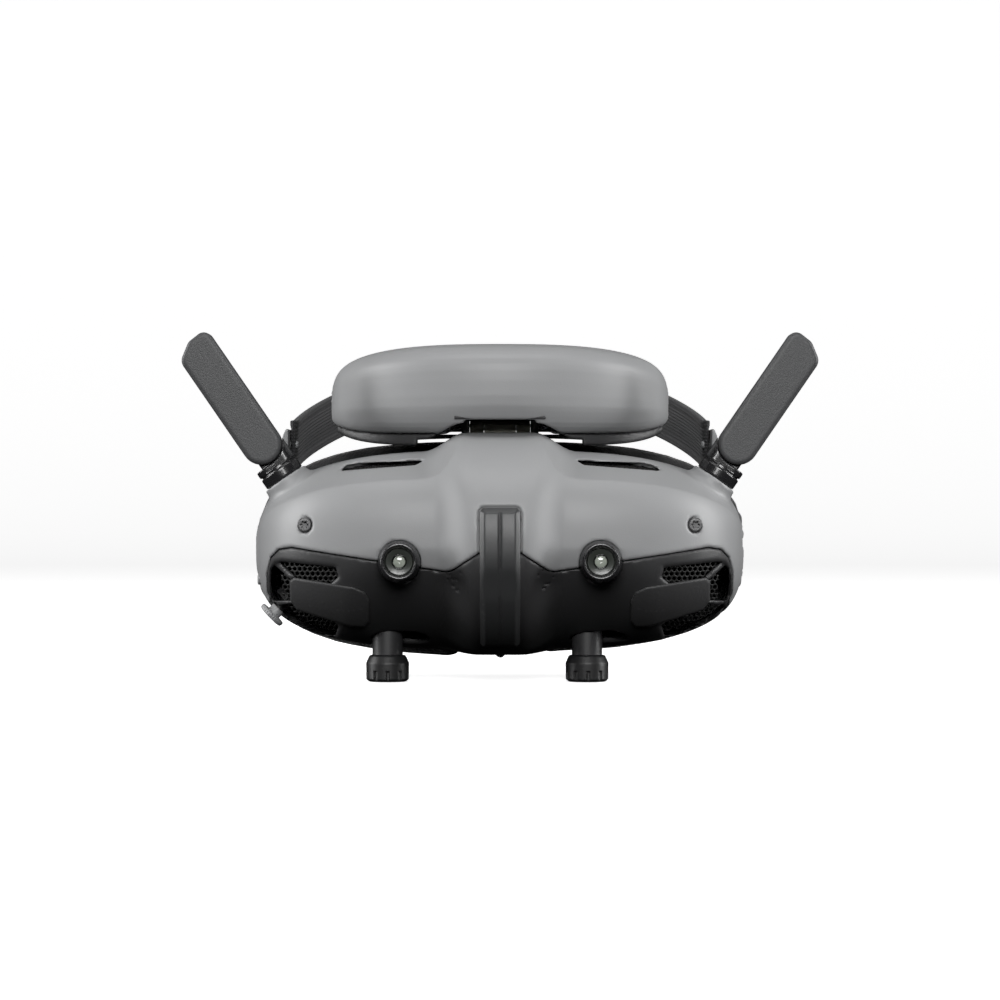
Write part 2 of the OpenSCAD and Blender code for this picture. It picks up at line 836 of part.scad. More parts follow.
module back_button_area(grow) {
    linear_extrude(8) hull()
        for (y = [-2, 2]) translate([0, y]) circle(r = 1.8 + grow, $fn = 24);
}

module back_button() {
    color([0.42, 0.43, 0.44]) translate([-half_w + 0.3, 52, 33]) along_x(0, 5)
        linear_extrude(4) hull()
            for (y = [-2, 2]) translate([0, y]) circle(r = 1.8, $fn = 24);
}

module power_button() {
    color([0.42, 0.43, 0.44]) rod_x(52, 45, 3.45, half_w - 4, half_w - 0.2);
}

// Headband: a level band whose path is a half oval, rising towards the back.
oval_y = 95;
oval_l = 98.5;
oval_exp = 2.3;
band_start_y = 72;
band_z = 77.2;
band_rise = 0.0016;

function band_path(t) =
    abs(t) > 90
        ? [sign(t) * band_half_x, oval_y - (abs(t) - 90)]
        : [band_half_x * sign(t) * pow(abs(sin(t)), 2 / oval_exp),
            oval_y + oval_l * pow(abs(cos(t)), 2 / oval_exp)];
function band_mid_z(y) = band_z + band_rise * pow(y - band_start_y, 2);

function band_section(t) =
    let (
        p = band_path(t),
        q = band_path(t + 0.5) - band_path(t - 0.5),
        n = [-q[1], q[0]] / norm(q) * band_t / 2,
        z = band_mid_z(p[1])
    )
    [
        [p[0] - n[0], p[1] - n[1], z - band_w / 2], [p[0] + n[0], p[1] + n[1], z - band_w / 2],
        [p[0] + n[0], p[1] + n[1], z + band_w / 2], [p[0] - n[0], p[1] - n[1], z + band_w / 2]
    ];

band_steps = concat([-90 - (oval_y - band_start_y)], [for (t = [-90:3:90]) t], [90 + oval_y - band_start_y]);

module headband() {
    color([0.05, 0.05, 0.05]) loft([for (t = band_steps) band_section(t)]);
}

// An upright plate outside the band's front end, with two rivets through the band.
module strap_anchor() {
    inner_x = -band_half_x - band_t / 2 - 0.05;
    color([0.35, 0.36, 0.37]) {
        translate([inner_x, 84, 0]) rotate([90, 0, 0]) linear_extrude(22)
            polygon([[0, 64.4], [0, 82.2], [-0.8, 82.2], [-2, 79.6], [-2, 64.4]]);
        translate([-71.5, 64, 59]) cube([4, 14, 7]);
        for (y = [75, 80]) rod_x(y, band_z, 1.2, inner_x - 0.5, inner_x + band_t + 0.5);
    }
}

module strap_adjuster() {
    far_y = overall_depth;
    z = band_mid_z(oval_y + oval_l);
    color([0.1, 0.1, 0.105]) difference() {
        translate([-12, far_y - 5.6, z - 11.5]) cube([24, 5.6, 23]);
        translate([-13, far_y - 4.5, z - 9.2]) cube([26, 3.3, 18.4]);
        for (x = [-7.5, 2.5]) translate([x, far_y - 6, z - 9.2]) cube([5, 4, 18.4]);
    }
}

in_place() front_shell();
in_place() lower_shell();
in_place() rear_frame();
in_place() center_bar();
in_place() right() intake_panel();  // left_intake_panel
in_place() intake_panel();  // right_intake_panel
in_place() vent_meshes();
in_place() camera_ring();  // left_camera_ring
in_place() right() camera_ring();  // right_camera_ring
in_place() camera_module();  // left_camera_module
in_place() right() camera_module();  // right_camera_module
in_place() shell_screws();
in_place() face_foam();
in_place() light_shield();
in_place() guide_rails();
in_place() mainboard();
in_place() heatsink();
in_place() fan_housing();
in_place() fan_impeller();
in_place() proximity_sensor();
in_place() usb_port();
in_place() card_slot();
in_place() hinge_lower_leaf();
in_place() hinge_pin();
in_place() hinge_upper_leaf();
in_place() pad_shell();
in_place() pad_inner_shell();
in_place() pad_cushion();
in_place() battery_cells();
in_place() antenna_collar();  // left_antenna_collar
in_place() antenna_pin();  // left_antenna_pin
in_place() antenna_front_cover();  // left_antenna_front_cover
in_place() antenna_rear_cover();  // left_antenna_rear_cover
in_place() antenna_board();  // left_antenna_board
in_place() right() antenna_collar();  // right_antenna_collar
in_place() right() antenna_pin();  // right_antenna_pin
in_place() right() antenna_front_cover();  // right_antenna_front_cover
in_place() right() antenna_rear_cover();  // right_antenna_rear_cover
in_place() right() antenna_board();  // right_antenna_board
in_place() carriage(-eye_left);  // left_carriage
in_place() display(-eye_left);  // left_display
in_place() lens_barrel(-eye_left);  // left_lens_barrel
in_place() eye_lens(-eye_left);  // left_eye_lens
in_place() knob_stem(-eye_left);  // left_knob_stem
in_place() focus_knob(-eye_left);  // left_focus_knob
in_place() carriage(eye_right);  // right_carriage
in_place() display(eye_right);  // right_display
in_place() lens_barrel(eye_right);  // right_lens_barrel
in_place() eye_lens(eye_right);  // right_eye_lens
in_place() knob_stem(eye_right);  // right_knob_stem
in_place() focus_knob(eye_right);  // right_focus_knob
in_place() joystick_gimbal();
in_place() joystick_stem();
in_place() joystick_button();
in_place() back_button();
in_place() power_button();
in_place() strap_anchor();  // left_strap_anchor
in_place() right() strap_anchor();  // right_strap_anchor
in_place() headband();
in_place() strap_adjuster();
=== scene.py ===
"""Looks of the FPV goggles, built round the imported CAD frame.

Fields below work in millimetres on arrays x, y, z, where y is the depth behind the foremost face. A field is
negative inside its solid and roughly a distance near its surface. solid() turns one into a Blender piece.
"""

import json
import math

import bmesh
import bpy
import numpy as np
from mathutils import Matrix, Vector
from mathutils.geometry import convex_hull_2d


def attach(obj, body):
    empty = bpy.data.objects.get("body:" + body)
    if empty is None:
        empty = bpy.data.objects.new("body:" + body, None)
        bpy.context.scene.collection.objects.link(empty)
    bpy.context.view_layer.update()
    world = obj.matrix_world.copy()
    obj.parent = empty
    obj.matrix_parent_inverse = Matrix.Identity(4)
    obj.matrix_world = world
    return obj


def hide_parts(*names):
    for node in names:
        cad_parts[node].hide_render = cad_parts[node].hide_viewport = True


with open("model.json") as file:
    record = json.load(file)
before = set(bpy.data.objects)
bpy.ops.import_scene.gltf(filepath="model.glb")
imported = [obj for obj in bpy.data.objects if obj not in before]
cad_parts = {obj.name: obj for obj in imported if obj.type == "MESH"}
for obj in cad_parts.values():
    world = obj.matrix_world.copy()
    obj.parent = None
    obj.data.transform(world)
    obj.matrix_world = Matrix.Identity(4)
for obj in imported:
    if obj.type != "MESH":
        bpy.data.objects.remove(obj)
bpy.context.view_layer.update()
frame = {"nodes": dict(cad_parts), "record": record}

MM = 0.001
CENTRE_Y = 98.0

# Housing, in mm
HALF_W = 79.2
MID_Z = 44.0
TOP_RISE = 31.0
BOTTOM_DROP = 34.0
WIDEST_Y = 56.0
FRONT_REACH = 48.0
RIDGE_REACH = 6.8
RIDGE_RISE = 6.0
RIDGE_END_Y = 49.6
KEEL_DROP = 1.8
SEAM_Y = 58.0
SHELL_T = 2.0

# Face opening: the foam sits between two upright cylinders with one axis
FACE_AXIS_Y = 235.0
FACE_R = 165.0
FOAM_BACK_R = 153.0

# Small parts on the front
CAMERA = (31.7, 39.4)
CAMERA_RING_R = 6.6
SCREW = (62.1, 50.9)
SCREW_SEAT_Y = 20.2

# Antennas, in a frame at the socket: across the blade, depth, and along the blade
SOCKET = np.array([-69.6, 45.0, 65.7])
LEAN = math.radians(34.5)
ANTENNA_ACROSS = np.array([math.cos(LEAN), 0, math.sin(LEAN)])
ANTENNA_UP = np.array([-math.sin(LEAN), 0, math.cos(LEAN)])
PIVOT_T = 13.3
BLADE_R = 6.5
BLADE_HALF_T = 4.75

# Joystick
STICK_BASE = np.array([-71.5, 46.0, 24.0])
STICK_LEAN = math.radians(226.0)
STICK_ACROSS = np.array([math.cos(STICK_LEAN), 0, -math.sin(STICK_LEAN)])
STICK_AXIS = np.array([math.sin(STICK_LEAN), 0, math.cos(STICK_LEAN)])

# Eyepieces
EYE_X = {"left": -36.3, "right": 28.1}
EYE_TRAVEL = 8.0
EYE_Z = 44.0
STEM_Y = 40.0
BARREL_R = 15.5

# Forehead pad
PAD_HALF_W = 55.7
PAD_MID_Z = 86.0
PAD_RISE = 23.6
PAD_DROP = 9.4
PAD_MID_Y = 50.0
PAD_CURVE = 0.0065
PAD_REACH = 20.0
PAD_SPLIT_Y = 6.0
HINGE = (51.6, 82.2)

# Headband
BAND_HALF_X = 68.6
BAND_T = 2.0
BAND_W = 16.0
BAND_START_Y = 72.0
OVAL_Y = 95.0
OVAL_L = 98.5
OVAL_EXP = 2.3
BAND_Z = 77.2
BAND_RISE = 0.0016

# Half outlines seen from the front, as (distance from the middle, height)
GREY_AREA = [
    (-1, 100), (-1, 42.1), (6.7, 42.1), (14.8, 36.7), (17, 36.1), (25.3, 37.4), (38.5, 39.5), (54, 41.8),
    (66.2, 43.7), (70.6, 43), (73.4, 40.3), (74.9, 34.9), (74.9, 29), (73.6, 24.6), (71.5, 21), (69.5, 19),
    (71, -5), (95, -5), (95, 100),
]
INTAKE_AREA = [
    (51, 34.4), (51.9, 37.6), (69.5, 39.2), (72, 38.6), (73.6, 36.4), (74.1, 32.6), (74, 28), (72.3, 23.8),
    (67.3, 19.4), (57.3, 15.6), (53.3, 14.7), (51.6, 18.4), (55, 22), (55, 31),
]
INTAKE_RIBS = [
    [(65.2, 34.2), (72.2, 40.2), (73.4, 39), (66.4, 33)],
    [(66, 26.7), (75.5, 25.9), (75.5, 24.7), (66, 25.5)],
]
PANEL_AREA = [
    (67.1, 32.9), (65.6, 34.1), (46.2, 31.2), (42.7, 29.6), (41.3, 26.8), (41.7, 19.9), (43.3, 18),
    (47.4, 18.2), (64.9, 23.5), (67.1, 26.4),
]
VENT_AREA = [(25, 71.3), (27, 70.1), (51.2, 68.3), (49.4, 69.8), (46, 70.5)]
BAR_AREA = [(-1, 10.8), (6.4, 10.8), (6.4, 55.3), (5.4, 56.3), (-1, 56.3)]
NOSE_AREA = [(-1, -10), (17, -10), (17, 12), (5, 34), (-1, 34)]

# Profile of the pad's outer shell, as (26ths of its depth, share of its height)
PAD_PROFILE_DEPTH = 26
PAD_PROFILE_HEIGHT = 33
PAD_PROFILE = [
    (26, 0.96), (15, 1), (7, 0.97), (3, 0.9), (0.8, 0.82), (0, 0.7), (0, 0.4), (1.2, 0.3), (4, 0.19),
    (9, 0.11), (26, 0.1),
]


# ---------------------------------------------------------------- fields

def soft_min(a, b, k):
    """The union of two fields, with a fillet of about k."""
    h = np.clip(0.5 + 0.5 * (b - a) / k, 0, 1)
    return b + (a - b) * h - k * h * (1 - h)


def soft_max(a, b, k):
    """The intersection of two fields, with an edge rounded by about k."""
    return -soft_min(-a, -b, k)


def step_up(t, start, end):
    t = np.clip((t - start) / (end - start), 0, 1)
    return t * t * (3 - 2 * t)


def bump(x, flat, foot):
    """1 inside the flat, falling smoothly to 0 at the foot."""
    t = np.clip((np.abs(x) - flat) / (foot - flat), 0, 1)
    return 0.5 + 0.5 * np.cos(math.pi * t)


def fall(s, a, b):
    return np.maximum(1 - np.minimum(s, 1) ** a, 1e-4) ** (1 / b)


def area(x, z, points):
    """Signed distance from the polygon of points, negative inside."""
    best = np.full(np.shape(x), 1e9)
    inside = np.zeros(np.shape(x), bool)
    for (ax, az), (bx, bz) in zip(points, points[1:] + points[:1]):
        ex, ez = bx - ax, bz - az
        px, pz = x - ax, z - az
        t = np.clip((px * ex + pz * ez) / (ex * ex + ez * ez), 0, 1)
        best = np.minimum(best, (px - t * ex) ** 2 + (pz - t * ez) ** 2)
        if ez:
            inside ^= ((az > z) != (bz > z)) & (px < ex * pz / ez)
    return np.sqrt(best) * np.where(inside, -1, 1)


def eased(points, rounds):
    """The polygon with its corners cut again and again, until they are round."""
    for _ in range(rounds):
        cut = []
        for (ax, az), (bx, bz) in zip(points, points[1:] + points[:1]):
            cut.append((0.75 * ax + 0.25 * bx, 0.75 * az + 0.25 * bz))
            cut.append((0.25 * ax + 0.75 * bx, 0.25 * az + 0.75 * bz))
        points = cut
    return points


def hull_of(circles):
    """The convex outline round circles given as (x, z, r)."""
    turns = [math.radians(7.5 * k) for k in range(48)]
    points = [(x + r * math.cos(a), z + r * math.sin(a)) for x, z, r in circles for a in turns]
    return [points[k] for k in convex_hull_2d(points)]


def box_field(x, y, z, low, high, r=0.0):
    """A box with its edges rounded to r."""
    q = [np.abs(v - (a + b) / 2) - (b - a) / 2 + r for v, a, b in zip((x, y, z), low, high)]
    outside = np.sqrt(sum(np.maximum(v, 0) ** 2 for v in q))
    return outside + np.minimum(np.maximum(np.maximum(q[0], q[1]), q[2]), 0) - r


def rod(x, y, z, base, axis, r, start, end, k=0.0):
    """A cylinder of radius r from start to end along a unit axis through base, with its rims rounded to k."""
    px, py, pz = x - base[0], y - base[1], z - base[2]
    t = px * axis[0] + py * axis[1] + pz * axis[2]
    off = np.sqrt(np.maximum(px * px + py * py + pz * pz - t * t, 0))
    side = off - r + k
    cap = np.maximum(start - t, t - end) + k
    return np.minimum(np.maximum(side, cap), 0) + np.hypot(np.maximum(side, 0), np.maximum(cap, 0)) - k


def evened(level, x, y, z, *more):
    """A level rescaled to measure distance near its surface."""
    e = 0.05
    here = level(x, y, z, *more)
    slopes = [
        level(x + e, y, z, *more) - here, level(x, y + e, z, *more) - here, level(x, y, z + e, *more) - here]
    return here / np.maximum(np.sqrt(sum(v * v for v in slopes)) / e, 1e-3)


def hull_level(x, y, z, grow):
    """0 on the housing's skin, grown by grow; it is the same in every upright section behind the widest."""
    s = np.abs(x) / (HALF_W + grow)
    ridge = bump(x, 10.5, 25) * (1 - step_up(y, RIDGE_END_Y - 1 + grow, RIDGE_END_Y + 1 + grow))
    crest = bump(x, 6.5, 21)
    top = (TOP_RISE + grow + RIDGE_RISE * ridge) * fall(s, 3, 2.6)
    bottom = (BOTTOM_DROP + grow + KEEL_DROP * crest) * fall(s, 3, 3.4)
    reach = (FRONT_REACH + grow + RIDGE_REACH * crest) * fall(s, 3.2, 2.4)
    u = np.maximum(WIDEST_Y - y, 0) / reach
    v = np.maximum(z - MID_Z, 0) / top
    w = np.maximum(MID_Z - z, 0) / bottom
    p_top = 3.1 - 0.8 * crest
    p_bottom = 1.65 + 0.55 * np.maximum(step_up(np.abs(x), 34, 50), crest)
    above = (u ** p_top + v ** p_top) ** (1 / p_top)
    below = (u ** p_bottom + w ** p_bottom) ** (1 / p_bottom)
    brow = (0.468 * u + 0.884 * v) / (1.03 + 0.12 * crest)
    above = soft_max(above, brow, 0.012)
    return np.maximum(np.where(z > MID_Z, above, below), s) - 1


def housing(x, y, z, grow=0.0):
    """Distance outside the housing's skin, grown by grow."""
    return evened(hull_level, x, y, z, grow)


# ---------------------------------------------------------------- meshes

def gradient(field, points):
    e = 0.02
    columns = []
    for axis in range(3):
        shift = np.zeros(3)
        shift[axis] = e
        columns.append((field(*(points + shift).T) - field(*(points - shift).T)) / (2 * e))
    return np.stack(columns, 1)


def surface_nets(field, low, high, step):
    """Points and quads of the field's surface inside the box, in the field's own units."""
    low = np.array(low, float)
    blocks = np.ceil((np.array(high, float) - low) / (4 * step)).astype(int)
    middles = [low[a] + (4 * np.arange(blocks[a]) + 1.5) * step for a in range(3)]
    coarse = field(*np.meshgrid(*middles, indexing="ij"))
    values = coarse.repeat(4, 0).repeat(4, 1).repeat(4, 2)
    near = np.argwhere(np.abs(coarse) < 6 * step)
    offsets = np.stack(np.meshgrid(*[range(4)] * 3, indexing="ij"), -1).reshape(1, -1, 3)
    cells = (near[:, None, :] * 4 + offsets).reshape(-1, 3)
    values[tuple(cells.T)] = field(*(low + cells * step).T)

    inside = values < 0
    corners = [(i, j, k) for i in (0, 1) for j in (0, 1) for k in (0, 1)]

    def at(array, c):
        return array[tuple(slice(o, n - 1 + o) for o, n in zip(c, values.shape))]

    count = sum(at(inside, c).astype(np.int8) for c in corners)
    mixed = (count > 0) & (count < 8)
    cell = np.argwhere(mixed)
    number = np.full(mixed.shape, -1, np.int64)
    number[mixed] = np.arange(len(cell))
    value = np.stack([at(values, c)[mixed] for c in corners], 1)
    total = np.zeros((len(cell), 3))
    hits = np.zeros(len(cell))
    for a in range(8):
        for b in range(a + 1, 8):
            ends = np.array([corners[a], corners[b]], float)
            if np.abs(ends[0] - ends[1]).sum() != 1:
                continue
            crossing = (value[:, a] < 0) != (value[:, b] < 0)
            va, vb = value[crossing, a], value[crossing, b]
            t = (va / (va - vb))[:, None]
            total[crossing] += ends[0] * (1 - t) + ends[1] * t
            hits[crossing] += 1
    points = low + (cell + total / hits[:, None]) * step

    for _ in range(3):
        slope = gradient(field, points)
        size = np.maximum((slope ** 2).sum(1), 0.05)
        move = -(field(*points.T) / size)[:, None] * slope
        points += np.clip(move, -step / 2, step / 2)

    quads = []
    for axis in range(3):
        u, v = (axis + 1) % 3, (axis + 2) % 3
        near_end = [slice(1, -1)] * 3
        far_end = [slice(1, -1)] * 3
        near_end[axis] = slice(0, -1)
        far_end[axis] = slice(1, None)
        starts, ends = inside[tuple(near_end)], inside[tuple(far_end)]
        base = np.argwhere(starts != ends)
        base[:, u] += 1
        base[:, v] += 1
        du, dv = np.eye(3, dtype=int)[u], np.eye(3, dtype=int)[v]
        ring = [base - du - dv, base - dv, base, base - du]
        quad = np.stack([number[tuple(c.T)] for c in ring], 1)
        outward = starts[starts != ends]
        quads.append(np.where(outward[:, None], quad, quad[:, ::-1]))
    return points, np.concatenate(quads)


def new_piece(name, points, faces, material):
    """A smooth mesh object from points in mm, with y as the depth behind the foremost face."""
    mesh = bpy.data.meshes.new(name)
    places = (np.asarray(points, float) - [0, CENTRE_Y, 0]) * MM
    mesh.from_pydata(places.tolist(), [], [list(map(int, f)) for f in faces])
    mesh.materials.append(material)
    mesh.shade_smooth()
    piece = bpy.data.objects.new(name, mesh)
    bpy.context.collection.objects.link(piece)
    return piece


def solid(name, field, low, high, step, material):
    points, quads = surface_nets(field, low, high, step)
    return new_piece(name, points, quads, material)


def mirrored(points, faces):
    return np.asarray(points) * [-1, 1, 1], [list(f)[::-1] for f in faces]


def placed(points, origin, across, along):
    """Points given as (across, depth, along), taken to where origin and the two axes put them."""
    points = np.asarray(points)
    return origin + points[:, :1] * across + points[:, 1:2] * [0, 1, 0] + points[:, 2:] * along


def turned(profile, count=96):
    """Points and quads of a closed anticlockwise profile of (radius, depth), turned about a depth axis."""
    ring = [math.tau * k / count for k in range(count)]
    points = [(r * math.cos(a), y, r * math.sin(a)) for a in ring for r, y in profile]
    n = len(profile)
    faces = []
    for k in range(count):
        for j in range(n):
            a, b = k * n, (k + 1) % count * n
            faces.append((a + j, a + (j + 1) % n, b + (j + 1) % n, b + j))
    return np.array(points), faces


def rounded(profile, radius, steps=4):
    """The closed profile with its corners rounded, as far as its edges leave room."""
    smooth = []
    count = len(profile)
    for k in range(count):
        before, here, after = (np.array(profile[(k + o) % count], float) for o in (-1, 0, 1))
        gap = min(radius, np.linalg.norm(before - here) * 0.45, np.linalg.norm(after - here) * 0.45)
        start = here + (before - here) / np.linalg.norm(before - here) * gap
        end = here + (after - here) / np.linalg.norm(after - here) * gap
        for j in range(steps + 1):
            t = j / steps
            smooth.append(tuple((1 - t) ** 2 * start + 2 * t * (1 - t) * here + t * t * end))
    return smooth


def mended(piece):
    """Merges points that meet, turns every face outwards and keeps flat faces flat."""
    shape = bmesh.new()
    shape.from_mesh(piece.data)
    bmesh.ops.remove_doubles(shape, verts=shape.verts, dist=1e-6)
    bmesh.ops.dissolve_degenerate(shape, dist=1e-6, edges=shape.edges)
    bmesh.ops.recalc_face_normals(shape, faces=shape.faces)
    shape.to_mesh(piece.data)
    shape.free()
    piece.data.shade_smooth()
    piece.modifiers.new("flats", "WEIGHTED_NORMAL").keep_sharp = True
    return piece


def settle(piece, body, slot, *nodes):
    """The piece rides on the body and stands for the nodes, which it hides; the slot is not used."""
    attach(piece, body)
    if nodes:
        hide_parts(*nodes)


def pair(name, points, faces, material, slot, body, node=None, first="left"):
    """A piece on one side and its mirror image on the other; {} in a name takes the side."""
    pieces = []
    other = "right" if first == "left" else "left"
    for side, shape in ((first, (points, faces)), (other, mirrored(points, faces))):
        piece = new_piece(name.format(side), *shape, material)
        settle(piece, body.format(side), slot, *([node.format(side)] if node else []))
        pieces.append(piece)
    return pieces


# ---------------------------------------------------------------- materials

def noise_at(tree, place, size_mm, detail):
    noise = tree.nodes.new("ShaderNodeTexNoise")
    noise.inputs["Scale"].default_value = 1000 / size_mm
    noise.inputs["Detail"].default_value = detail
    tree.links.new(place, noise.inputs["Vector"])
    return noise.outputs["Fac"]


def blended(tree, factor, low, high):
    """A colour between two colours or sockets."""
    mix = tree.nodes.new("ShaderNodeMix")
    mix.data_type = "RGBA"
    for name, value in (("A", low), ("B", high)):
        if isinstance(value, bpy.types.NodeSocket):
            tree.links.new(value, mix.inputs[name])
        else:
            mix.inputs[name].default_value = (*value, 1)
    tree.links.new(factor, mix.inputs["Factor"])
    return mix.outputs["Result"]


def spread(tree, value, low, high, start=0.0, end=1.0):
    """The value's range from start to end stretched to run from low to high."""
    span = tree.nodes.new("ShaderNodeMapRange")
    span.inputs["From Min"].default_value = start
    span.inputs["From Max"].default_value = end
    span.inputs["To Min"].default_value = low
    span.inputs["To Max"].default_value = high
    tree.links.new(value, span.inputs["Value"])
    return span.outputs["Result"]


def dented(tree, height, strength, depth_mm, below=None):
    """A normal pushed in and out by the height, on top of another normal if one is given."""
    node = tree.nodes.new("ShaderNodeBump")
    node.inputs["Strength"].default_value = strength
    node.inputs["Distance"].default_value = depth_mm * MM
    tree.links.new(height, node.inputs["Height"])
    if below:
        tree.links.new(below, node.inputs["Normal"])
    return node.outputs["Normal"]


def material_named(name, base, rough=0.5, metallic=0.0, grain=0.0, grain_size=0.3, mottle=0.05, edge_highlight=0.0,
                   rough_spread=0.08, coat=0.0, sheen=0.0, clear=0.0, glow=0.0):
    """Moulded, machined or covered material: cloudy colour and roughness, fine grain in the bump, and edges
    painted paler as a highlight.

    grain is the bump's strength, grain_size its size in mm and edge_highlight how much paler the painted edge
    highlight makes the edges.
    """
    material = bpy.data.materials.new(name)
    material.use_nodes = True
    tree = material.node_tree
    shader = tree.nodes["Principled BSDF"]
    shader.inputs["Metallic"].default_value = metallic
    shader.inputs["Coat Weight"].default_value = coat
    shader.inputs["Coat Roughness"].default_value = 0.12
    shader.inputs["Sheen Weight"].default_value = sheen
    shader.inputs["Sheen Roughness"].default_value = 0.5
    shader.inputs["Transmission Weight"].default_value = clear
    shader.inputs["Emission Color"].default_value = (*base, 1)
    shader.inputs["Emission Strength"].default_value = glow
    place = tree.nodes.new("ShaderNodeTexCoord").outputs["Object"]
    clouds = noise_at(tree, place, 22, 4)
    specks = noise_at(tree, place, grain_size, 2)
    colour = blended(
        tree, clouds, [c * (1 - mottle) for c in base], [min(1, c * (1 + mottle)) for c in base])
    # Convex edges are painted paler: a painted highlight where the edges catch the light.
    if edge_highlight:
        edge = tree.nodes.new("ShaderNodeNewGeometry").outputs["Pointiness"]
        highlight_share = spread(tree, edge, 0, edge_highlight, 0.52, 0.62)
        colour = blended(tree, highlight_share, colour, [min(1, c * 1.5 + 0.03) for c in base])
    tree.links.new(colour, shader.inputs["Base Color"])
    gloss = spread(tree, specks, max(0.02, rough - rough_spread), min(1, rough + rough_spread))
    tree.links.new(gloss, shader.inputs["Roughness"])
    if grain:
        tree.links.new(dented(tree, specks, grain, 0.08), shader.inputs["Normal"])
    return material


def knitted(name, base, loop_mm, sheen):
    """Stretch cloth over foam: small dimples, soft fuzz and slow changes of tone."""
    material = material_named(name, base, rough=0.85, mottle=0.18, grain_size=loop_mm / 2, sheen=sheen)
    tree = material.node_tree
    shader = tree.nodes["Principled BSDF"]
    place = tree.nodes.new("ShaderNodeTexCoord").outputs["Object"]
    loops = tree.nodes.new("ShaderNodeTexVoronoi")
    loops.inputs["Scale"].default_value = 1000 / loop_mm
    tree.links.new(place, loops.inputs["Vector"])
    normal = dented(tree, loops.outputs["Distance"], 0.7, 0.25)
    normal = dented(tree, noise_at(tree, place, 6, 3), 0.25, 0.3, normal)
    tree.links.new(normal, shader.inputs["Normal"])
    return material


def woven(name, base, thread, pitch_mm):
    """Elastic webbing: cross threads of another tone, from UVs in mm along and across the band."""
    material = material_named(name, base, rough=0.8, mottle=0.12, grain_size=0.25, sheen=0.06)
    tree = material.node_tree
    shader = tree.nodes["Principled BSDF"]
    place = tree.nodes.new("ShaderNodeTexCoord").outputs["UV"]
    heights = []
    for direction, pitch in (("X", pitch_mm), ("Y", pitch_mm * 1.3)):
        wave = tree.nodes.new("ShaderNodeTexWave")
        wave.bands_direction = direction
        wave.inputs["Scale"].default_value = math.tau / 20 / pitch
        wave.inputs["Distortion"].default_value = 0.4
        tree.links.new(place, wave.inputs["Vector"])
        heights.append(wave.outputs["Fac"])
    weave = tree.nodes.new("ShaderNodeMath")
    weave.operation = "MULTIPLY"
    tree.links.new(heights[0], weave.inputs[0])
    tree.links.new(heights[1], weave.inputs[1])
    colour = shader.inputs["Base Color"].links[0].from_socket
    tree.links.new(blended(tree, weave.outputs["Value"], colour, thread), shader.inputs["Base Color"])
    tree.links.new(dented(tree, weave.outputs["Value"], 0.8, 0.2), shader.inputs["Normal"])
    return material


def brushed(name, base, rough, axis):
    """Metal ground along one axis: the grain is stretched that way."""
    material = material_named(name, base, rough=rough, metallic=1.0, mottle=0.06, edge_highlight=0.3)
    tree = material.node_tree
    shader = tree.nodes["Principled BSDF"]
    place = tree.nodes.new("ShaderNodeTexCoord").outputs["Object"]
    stretch = tree.nodes.new("ShaderNodeMapping")
    stretch.inputs["Scale"].default_value[axis] = 0.04
    tree.links.new(place, stretch.inputs["Vector"])
    lines = noise_at(tree, stretch.outputs["Vector"], 0.15, 2)
    tree.links.new(spread(tree, lines, rough - 0.1, rough + 0.15), shader.inputs["Roughness"])
    tree.links.new(dented(tree, lines, 0.25, 0.03), shader.inputs["Normal"])
    return material


